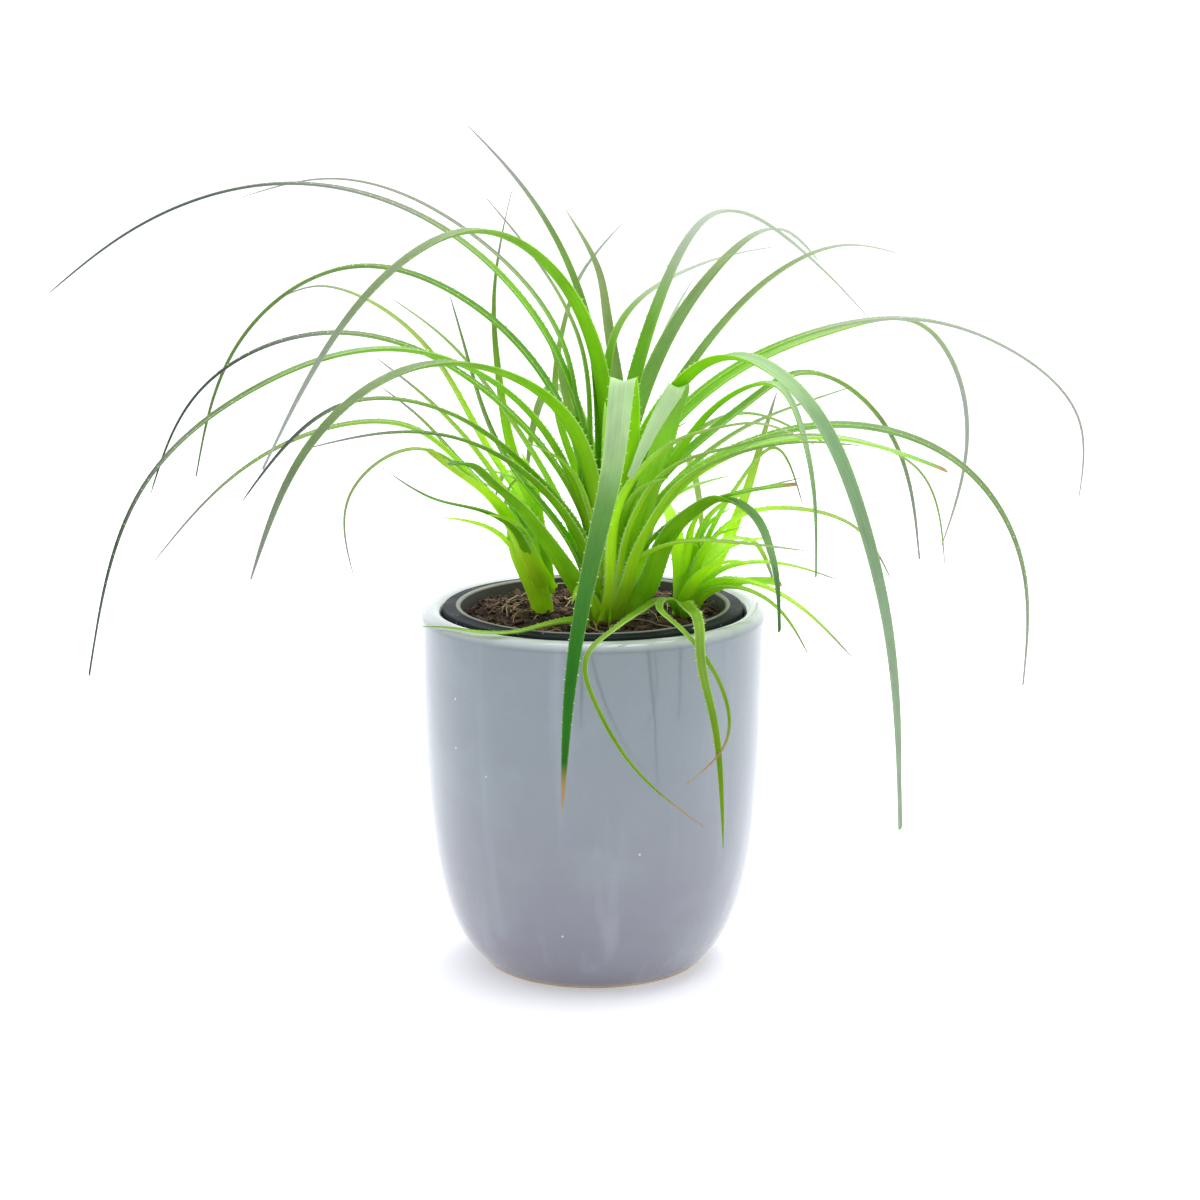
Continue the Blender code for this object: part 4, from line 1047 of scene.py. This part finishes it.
def random_turn(rng, tilt):
    """A rotation about the vertical, then a lean of up to tilt radians."""
    a = rng.uniform(0.0, math.tau)
    b = rng.uniform(-tilt, tilt)
    c = rng.uniform(-tilt, tilt)
    spin = np.array(((math.cos(a), -math.sin(a), 0), (math.sin(a), math.cos(a), 0), (0, 0, 1)))
    lean = np.array(((1, 0, 0), (0, math.cos(b), -math.sin(b)), (0, math.sin(b), math.cos(b))))
    nod = np.array(((math.cos(c), 0, math.sin(c)), (0, 1, 0), (-math.sin(c), 0, math.cos(c))))
    return nod @ lean @ spin


def spot_on_soil(rng, margin):
    """A random place on the soil, clear of the wall."""
    while True:
        x = rng.uniform(-LINER_TOP_RADIUS, LINER_TOP_RADIUS)
        y = rng.uniform(-LINER_TOP_RADIUS, LINER_TOP_RADIUS)
        if math.hypot(x, y) < LINER_TOP_RADIUS - LINER_WALL - LITTER_EDGE - margin:
            return x, y


def scatter(name, count, rng, subdivisions, sizes, flat, tilt, finish):
    """Many lumpy scraps on the soil, as one piece, each with a shade of its own."""
    base, base_faces = ball(subdivisions)
    points = []
    faces = []
    shades = []
    for k in range(count):
        size = rng.uniform(*sizes)
        lengths = np.array((rng.uniform(1.0, flat), rng.uniform(*SCRAP_BREADTH),
                            rng.uniform(*SCRAP_THICKNESS)))
        lumps = [noise.noise(Vector(p) * SCRAP_LUMP_SCALE + Vector((k, 0, 0))) for p in base]
        body = base * (1.0 + SCRAP_LUMPS * np.array(lumps))[:, None] * lengths * size
        x, y = spot_on_soil(rng, size * 1.1)
        place = (x, y, soil_height(x, y) + size * SCRAP_LIFT)
        faces.extend((base_faces + len(points) * len(base)).tolist())
        points.append(body @ random_turn(rng, tilt).T + place)
        shades.append(np.full(len(base), rng.random()))
    piece = new_piece(name, np.concatenate(points), faces, (finish,), 45.0)
    keep_values(piece.data, "POINT", {"shade": np.concatenate(shades)})


def tube(path, radii, sides):
    """Points and faces of a closed tube along a path."""
    path = np.asarray(path)
    points = []
    for centre, direction, radius in zip(path, unit(np.gradient(path, axis=0)), radii):
        aside = np.cross(direction, (0.1, 0.2, 1.0))
        aside /= np.linalg.norm(aside)
        over = np.cross(aside, direction)
        for k in range(sides):
            turn = math.tau * k / sides
            points.append(centre + (aside * math.cos(turn) + over * math.sin(turn)) * radius)
    return points, tube_faces(len(path), sides)


def straw_path(rng):
    """A curved way over the soil that arches up in its middle, and ends short of the wall."""
    length = rng.uniform(*STRAW_LENGTH)
    x, y = spot_on_soil(rng, 3.0)
    turn = rng.uniform(0.0, math.tau)
    curl = rng.uniform(-STRAW_CURL, STRAW_CURL)
    lift = rng.choice(STRAW_LIFTS)
    step = length / STRAW_STEPS
    path = []
    for i in range(STRAW_STEPS + 1):
        share = i / STRAW_STEPS
        path.append((x, y, soil_height(x, y) + STRAW_CLEAR + lift * math.sin(math.pi * share)))
        x += math.cos(turn + curl * share) * step
        y += math.sin(turn + curl * share) * step
        if math.hypot(x, y) > LINER_TOP_RADIUS - STRAW_EDGE:
            break
    return path


def make_straws(soil, rng):
    """Straws and root threads that lie on the soil or arch out of it."""
    points = []
    faces = []
    shades = []
    for _ in range(soil.straws):
        path = straw_path(rng)
        if len(path) < STRAW_FEWEST:
            continue
        radius = rng.uniform(*STRAW_RADIUS)
        radii = [radius * (1.0 - 0.5 * i / len(path)) for i in range(len(path))]
        one, one_faces = tube(path, radii, STRAW_SIDES)
        faces.extend(tuple(v + len(points) for v in f) for f in one_faces)
        points.extend(one)
        shades.extend([rng.random()] * len(one))
    finish = litter_material("straw", soil.straw_dark, soil.straw, 300.0)
    piece = new_piece("straws", points, faces, (finish,), 60.0)
    keep_values(piece.data, "POINT", {"shade": shades})


def make_litter(soil):
    """Peat crumbs, bark chips and straws on the soil."""
    rng = random.Random(soil.seed)
    crumb = litter_material("peat_crumb", soil.peat, soil.crumb, 700.0)
    scatter("peat_crumbs", soil.crumbs, rng, 1, CRUMB_SIZE, 1.4, 1.2, crumb)
    bark = litter_material("bark", soil.bark_dark, soil.bark, 400.0)
    scatter("bark_chips", soil.chips, rng, 2, CHIP_SIZE, 2.2, 0.5, bark)
    make_straws(soil, rng)


def young_leaves(young):
    """Short inner leaves spread over an arc by the golden ratio, longer and flatter in turn."""
    leaves = []
    for k in range(young.count):
        share = (k + 0.5) / young.count
        turn = (k * GOLDEN_RATIO) % 1.0 - 0.5
        out = young.reach * lerp(YOUNG_REACHES, share)
        up = young.height * lerp(YOUNG_HEIGHTS, share)
        arch = [(out * reach, up * height) for reach, height in YOUNG_ARCH]
        leaves.append(Leaf(young.heading + young.spread * turn, lerp(YOUNG_WIDTHS, share), arch,
                           grey=NEVER))
    return leaves


class Course:
    """The centre line of one leaf, with its side and face directions, width and thickness."""

    def __init__(self, crown, leaf):
        turn = math.radians(leaf.heading)
        out = np.array((math.cos(turn), math.sin(turn), 0.0))
        left = np.array((-math.sin(turn), math.cos(turn), 0.0))
        up = np.array((0.0, 0.0, 1.0))
        root = np.array((*crown.place, SOIL_HEIGHT))
        reach, height = leaf.arch[1][:2]
        lean = ramp(reach / height, 0.0, 1.0)
        start_out = LEAF_START_OUT + lean * crown.stem[1][3] * START_OUT_SHARE
        course = [root + out * start_out + up * crown.start]
        for reach, height, *aside in leaf.arch:
            arched = out * reach + up * height + left * (aside[0] if aside else 0.0)
            course.append(root + arched * ARCH_SCALE)
        self.leaf = leaf
        self.clasp = crown.clasp
        self.left = left
        self.line = smooth_curve(course, COURSE_SAMPLES)
        steps = np.linalg.norm(np.diff(self.line, axis=0), axis=1)
        self.travel = np.concatenate(([0.0], np.cumsum(steps)))
        self.length = self.travel[-1]
        self.top = self.travel[np.argmax(self.line[:, 2])]

    def at(self, s):
        return np.stack([np.interp(s, self.travel, self.line[:, k]) for k in range(3)], axis=1)

    def frames(self, s):
        """Centre, tangent, side and face direction at each distance in s."""
        ahead = self.at(np.minimum(s + TANGENT_STEP, self.length))
        behind = self.at(np.maximum(s - TANGENT_STEP, 0.0))
        tangent = unit(ahead - behind)
        side = unit(self.left - tangent * (tangent @ self.left)[:, None])
        roll = np.radians(self.leaf.roll) * s / self.length
        side = side * np.cos(roll)[:, None] + np.cross(tangent, side) * np.sin(roll)[:, None]
        return self.at(s), tangent, side, np.cross(tangent, side)

    def width(self, s):
        """Widest at the clasping root, and tapered to a thin tip or a rounded cut."""
        to_go = np.maximum(1.0 - s / self.length, 0.0)
        blunt = self.leaf.cut * self.leaf.width
        width = np.maximum(self.leaf.width * to_go ** self.leaf.taper, max(blunt, TIP_WIDTH))
        width = width * (1.0 + self.clasp * np.exp(-(s / CLASP_LENGTH) ** 2))
        if blunt:
            inset = np.clip(1.0 - (self.length - s) / (blunt / 2.0), 0.0, 1.0)
            width = width * np.sqrt(1.0 - 0.9 * inset ** 2)
        return width

    def thickness(self, s):
        """Fleshy at the root and thin at the tip."""
        body = TIP_THICKNESS + BODY_THICKNESS * (1.0 - s / self.length)
        flesh = FLESH_THICKNESS * np.exp(-s / FLESH_LENGTH)
        return np.minimum(body + flesh, self.width(s) * MOST_THICKNESS)

    def channel(self, s):
        """How far the margins rise above the middle, as a share of the width."""
        return LEAF_CHANNEL + CLASP_CHANNEL * np.exp(-(s / CLASP_LENGTH) ** 2)

    def stations(self, longest, turn_step):
        """Distances along the leaf, closer where it bends and where a cut end is rounded."""
        tangent = unit(np.diff(self.line, axis=0))
        turns = np.arccos(np.clip((tangent[1:] * tangent[:-1]).sum(axis=1), -1.0, 1.0))
        turns = np.concatenate(([0.0], turns, [0.0]))
        need = np.cumsum(np.gradient(self.travel) / longest + turns / turn_step)
        count = int(math.ceil(need[-1] - need[0])) + 3
        places = np.interp(np.linspace(need[0], need[-1], count), need, self.travel)
        end = self.leaf.cut * self.leaf.width / 2.0
        if end:
            rounded = self.length - end * np.array(ROUNDED_STEPS)
            places = np.concatenate((places[places < rounded[0] - 0.3], rounded))
        return places


class Blades:
    """Gathers the stem and leaves of one crown, with their shading values, into one mesh."""

    def __init__(self, settings):
        self.settings = settings
        self.points = []
        self.faces = []
        self.count = 0
        self.values = {name: [] for name in LEAF_VALUES}
        self.upper = []
        self.tooth = []

    def add(self, points, faces, upper, tooth, values):
        self.points.append(points)
        self.faces.extend([tuple(v + self.count for v in face) for face in faces])
        self.count += len(points)
        self.upper.extend(upper)
        self.tooth.extend([tooth] * len(faces))
        for name, numbers in self.values.items():
            numbers.append(np.broadcast_to(values[name], len(points)))

    def add_blade(self, course, looks):
        """The leaf itself: a shallow channel above and a rounded back, closed at both ends."""
        s = course.stations(self.settings.station / MM, self.settings.bend)
        centre, tangent, side, face = course.frames(s)
        width = course.width(s)
        columns = np.array(ACROSS_UPPER + ACROSS_LOWER)
        above = np.array([1.0] * len(ACROSS_UPPER) + [-1.0] * len(ACROSS_LOWER))
        body = np.sqrt(np.maximum(1.0 - columns ** 2, 0.0)) * above / 2.0
        rise = course.channel(s)[:, None] * np.abs(columns) ** CHANNEL_POWER
        lift = width[:, None] * rise + course.thickness(s)[:, None] * body
        spread = width[:, None] * columns / 2.0
        points = centre[:, None] + side[:, None] * spread[..., None] + face[:, None] * lift[..., None]
        ring = len(columns)
        row = [1.0 if k < len(ACROSS_UPPER) - 1 else 0.0 for k in range(ring)]
        values = {"lane": spread.ravel(), "rim": np.repeat(width, ring) / 2.0 - np.abs(spread.ravel()),
                  **self.lasting(course, looks, s, tangent, ring)}
        self.add(points.reshape(-1, 3), tube_faces(len(s), ring, clockwise=True),
                 row * (len(s) - 1) + [0.0, 0.0], 0.0, values)

    def lasting(self, course, looks, s, tangent, repeats):
        """The shading values that hold across the whole width of a leaf at each distance in s."""
        share = s / course.length
        whole = 1.0 - course.leaf.cut ** (1.0 / LEAF_TAPER)
        dry = course.leaf.dry
        withered = np.clip((share - (1.0 - dry)) / (0.4 * dry), 0.0, 1.0) if dry else 0.0 * share
        values = {"along": share * whole, "travel": s * MM, "slope": tangent[:, 2],
                  "fallen": np.maximum(s - course.top, 0.0) * MM, "dry": withered}
        return {**{name: np.repeat(numbers, repeats) for name, numbers in values.items()}, **looks}

    def add_teeth(self, course, looks, rng):
        """Slim pale teeth along both margins, closer together near the root."""
        gaps = (self.settings.gap_root / MM, self.settings.gap_tip / MM)
        for hand in (1.0, -1.0):
            places = []
            s = TEETH_START + rng.uniform(0.0, 2.0)
            while s < course.length * TEETH_END_SHARE - TEETH_END_GAP:
                places.append(s)
                gap = lerp(gaps, ramp(s / course.length, *TEETH_SPREAD))
                s += gap * rng.uniform(*TOOTH_GAP_CHANGE)
            if places:
                self.add_row(course, looks, np.array(places), hand, rng)

    def add_row(self, course, looks, s, hand, rng):
        """One margin's teeth: four-sided spikes that lean a little towards the tip."""
        centre, tangent, side, face = course.frames(s)
        width = course.width(s)
        raised = course.channel(s) * width
        margin = centre + side * (hand * width / 2.0)[:, None] + face * raised[:, None]
        out = unit(side * hand + face * 2.0 * LEAF_CHANNEL * CHANNEL_POWER)
        grow = np.array([rng.uniform(*TOOTH_GROWTH) for _ in s])
        size = self.settings.tooth / MM * grow * np.minimum(width / TOOTH_FULL_WIDTH, 1.0)
        size = size * (1.0 - 0.5 * s / course.length)
        hook = np.array([rng.uniform(*TOOTH_HOOK) for _ in s]) * size
        sunk = margin - out * TOOTH_SUNK
        along = tangent * (size * TOOTH_HALF)[:, None]
        over = face * TOOTH_THIN
        tip = margin + out * size[:, None] + tangent * hook[:, None]
        corners = np.stack([sunk - along - over, sunk + along - over, sunk + along + over,
                            sunk - along + over, tip], axis=1)
        order = [face_order[::-1] if hand > 0 else face_order for face_order in TOOTH_FACES]
        faces = [tuple(v + 5 * k for v in corner) for k in range(len(s)) for corner in order]
        values = {"lane": 0.0, "rim": 0.0, **self.lasting(course, looks, s, tangent, 5)}
        self.add(corners.reshape(-1, 3), faces, [0.5] * len(faces), 1.0, values)

    def add_stem(self, crown, looks):
        """The crown's short stem, under the roots of its leaves."""
        rings = smooth_curve(crown.stem, STEM_RINGS)
        turns = np.arange(STEM_SIDES) * math.tau / STEM_SIDES
        circle = np.stack([np.cos(turns), np.sin(turns), np.zeros(STEM_SIDES)], axis=1)
        points = []
        for height, lean_x, lean_y, radius in rings:
            centre = (crown.place[0] + lean_x, crown.place[1] + lean_y, SOIL_HEIGHT + height)
            points.append(centre + circle * radius)
        faces = tube_faces(STEM_RINGS, STEM_SIDES)
        rise = np.repeat(np.maximum(rings[:, 0], 0.0), STEM_SIDES) * MM
        values = {"lane": np.tile(turns, STEM_RINGS) * crown.stem[1][3], "rim": 5.0, "along": 0.0,
                  "travel": rise, "slope": 1.0, "fallen": 0.0, "dry": 0.0, **looks}
        self.add(np.concatenate(points), faces, [0.0] * len(faces), 0.0, values)

    def piece(self, name, finish):
        piece = new_piece(name, np.concatenate(self.points), self.faces, (finish,), 55.0)
        keep_values(piece.data, "POINT", {k: np.concatenate(v) for k, v in self.values.items()})
        keep_values(piece.data, "FACE", {"upper": self.upper, "tooth": self.tooth})
        return piece


def make_rosette(name, crown, settings, finish, seed):
    """All the leaves of one crown, with their teeth, as one piece."""
    rng = random.Random(seed)
    blades = Blades(settings)
    blades.add_stem(crown, {"tone": 0.0, "fresh": crown.fresh, "grey": NEVER, "slate": 0.0, "pale": 0.0,
                            "mint": 0.0})
    for leaf in (*crown.leaves, *young_leaves(crown.young)):
        course = Course(crown, leaf)
        tone = rng.uniform(-1.0, 1.0)
        looks = {"tone": tone if leaf.tone is None else leaf.tone,
                 "fresh": crown.fresh if leaf.fresh is None else leaf.fresh,
                 "grey": crown.grey if leaf.grey is None else leaf.grey,
                 "slate": leaf.slate, "pale": leaf.pale, "mint": leaf.mint}
        blades.add_blade(course, looks)
        blades.add_teeth(course, looks, rng)
    piece = blades.piece(name + "_leaves", finish)
    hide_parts(name)


def make_floor(stage):
    """A pale floor as wide as the view, finer under the pot."""
    points, faces = turned([(radius, -FLOOR_DROP) for radius in FLOOR_RINGS], FLOOR_SEGMENTS)
    mesh = bpy.data.meshes.new("studio_floor")
    mesh.from_pydata(np.array(points) * MM, [], faces)
    mesh.materials.append(floor_material(stage))
    link_object("studio_floor", mesh)


def make_light(stage):
    """A large soft light overhead, a little behind the plant."""
    data = bpy.data.lights.new("top_light", "AREA")
    data.shape = "RECTANGLE"
    data.size = LIGHT_SIZE * MM
    data.size_y = LIGHT_SIZE * MM
    data.energy = stage.top_light
    light = link_object("top_light", data)
    light.location = Vector(LIGHT_PLACE) * MM
    way = Vector(LIGHT_TARGET) - Vector(LIGHT_PLACE)
    light.rotation_euler = way.to_track_quat("-Z", "Y").to_euler()


def make_surround(stage):
    """White surroundings, dimmer behind the camera so that round forms show, and plain to the eye."""
    world = bpy.data.worlds.new("white_studio")
    world.use_nodes = True
    tree = Tree(world.node_tree)
    way = tree.node("ShaderNodeTexCoord").outputs["Generated"]
    to_back = tree.node("ShaderNodeSeparateXYZ", {0: way}).outputs["Y"]
    lit = tree.between(to_back, -0.95, 0.1, stage.front, stage.surround)
    seen = tree.node("ShaderNodeLightPath").outputs["Is Camera Ray"]
    strength = tree.node("ShaderNodeMix", {0: seen, 2: lit, 3: 1.0}, data_type="FLOAT").outputs[0]
    backdrop = world.node_tree.nodes["Background"]
    tree.feed(backdrop.inputs["Color"], tree.mix(seen, (0.97, 0.985, 1.03), (1.0, 1.0, 1.0)))
    tree.feed(backdrop.inputs["Strength"], strength)
    bpy.context.scene.world = world
    bpy.context.scene.view_settings.view_transform = "Standard"


def make_camera(stage):
    """Looks down a little at the middle of the plant."""
    data = bpy.data.cameras.new("front_camera")
    data.lens = stage.lens
    data.sensor_width = SENSOR_WIDTH
    data.clip_start = CAMERA_CLIP[0] * MM
    data.clip_end = CAMERA_CLIP[1] * MM
    camera = link_object("front_camera", data)
    away = Vector((0.0, -math.cos(stage.pitch), math.sin(stage.pitch)))
    camera.location = Vector(CAMERA_TARGET) * MM + away * stage.distance
    camera.rotation_euler = (math.pi / 2.0 - stage.pitch, 0.0, 0.0)
    bpy.context.scene.camera = camera


class AGAVE_OT_stage(bpy.types.Operator):
    """Builds the floor, the light and the camera"""

    bl_idname = "agave.stage"
    bl_label = "Build Studio"

    def execute(self, context):
        for make in (make_floor, make_surround, make_light, make_camera):
            make(context.scene.agave_stage)
        return {"FINISHED"}


class AGAVE_OT_glazed_pot(bpy.types.Operator):
    """Builds the glazed pot"""

    bl_idname = "agave.glazed_pot"
    bl_label = "Build Glazed Pot"

    def execute(self, context):
        make_glazed_pot(context.scene.agave_pot)
        return {"FINISHED"}


class AGAVE_OT_nursery_pot(bpy.types.Operator):
    """Builds the plastic nursery pot"""

    bl_idname = "agave.nursery_pot"
    bl_label = "Build Nursery Pot"

    def execute(self, context):
        make_nursery_pot(context.scene.agave_pot)
        return {"FINISHED"}


class AGAVE_OT_soil(bpy.types.Operator):
    """Builds the soil with its crumbs, bark and straws"""

    bl_idname = "agave.soil"
    bl_label = "Build Soil"

    def execute(self, context):
        make_soil(context.scene.agave_soil)
        make_litter(context.scene.agave_soil)
        return {"FINISHED"}


class AGAVE_OT_rosettes(bpy.types.Operator):
    """Builds the leaves of the three crowns"""

    bl_idname = "agave.rosettes"
    bl_label = "Build Rosettes"

    def execute(self, context):
        settings = context.scene.agave_leaf
        finish = leaf_material(settings)
        for seed, (name, crown) in enumerate(CROWNS.items()):
            make_rosette(name, crown, settings, finish, seed)
        return {"FINISHED"}


class AGAVE_PT_panel(bpy.types.Panel):
    """Lists the agave's pieces and their settings"""

    bl_label = "Potted Agave"
    bl_idname = "AGAVE_PT_panel"
    bl_space_type = "VIEW_3D"
    bl_region_type = "UI"
    bl_category = "Agave"

    def draw(self, context):
        for operator in OPERATORS:
            self.layout.operator(operator.bl_idname)
        for place, settings in SETTINGS.items():
            column = self.layout.column()
            for name in settings.__annotations__:
                column.prop(getattr(context.scene, place), name)


OPERATORS = (AGAVE_OT_stage, AGAVE_OT_glazed_pot, AGAVE_OT_nursery_pot, AGAVE_OT_soil,
             AGAVE_OT_rosettes)
SETTINGS = {"agave_pot": AgavePotSettings, "agave_soil": AgaveSoilSettings,
            "agave_leaf": AgaveLeafSettings, "agave_stage": AgaveStageSettings}


def register():
    for name, settings in SETTINGS.items():
        bpy.utils.register_class(settings)
        setattr(bpy.types.Scene, name, PointerProperty(type=settings))
    for shown in (*OPERATORS, AGAVE_PT_panel):
        bpy.utils.register_class(shown)


def unregister():
    for shown in (AGAVE_PT_panel, *reversed(OPERATORS)):
        bpy.utils.unregister_class(shown)
    for name, settings in SETTINGS.items():
        delattr(bpy.types.Scene, name)
        bpy.utils.unregister_class(settings)


def main():
    register()
    bpy.ops.agave.stage()
    bpy.ops.agave.glazed_pot()
    bpy.ops.agave.nursery_pot()
    bpy.ops.agave.soil()
    bpy.ops.agave.rosettes()


if __name__ == "__main__":
    main()
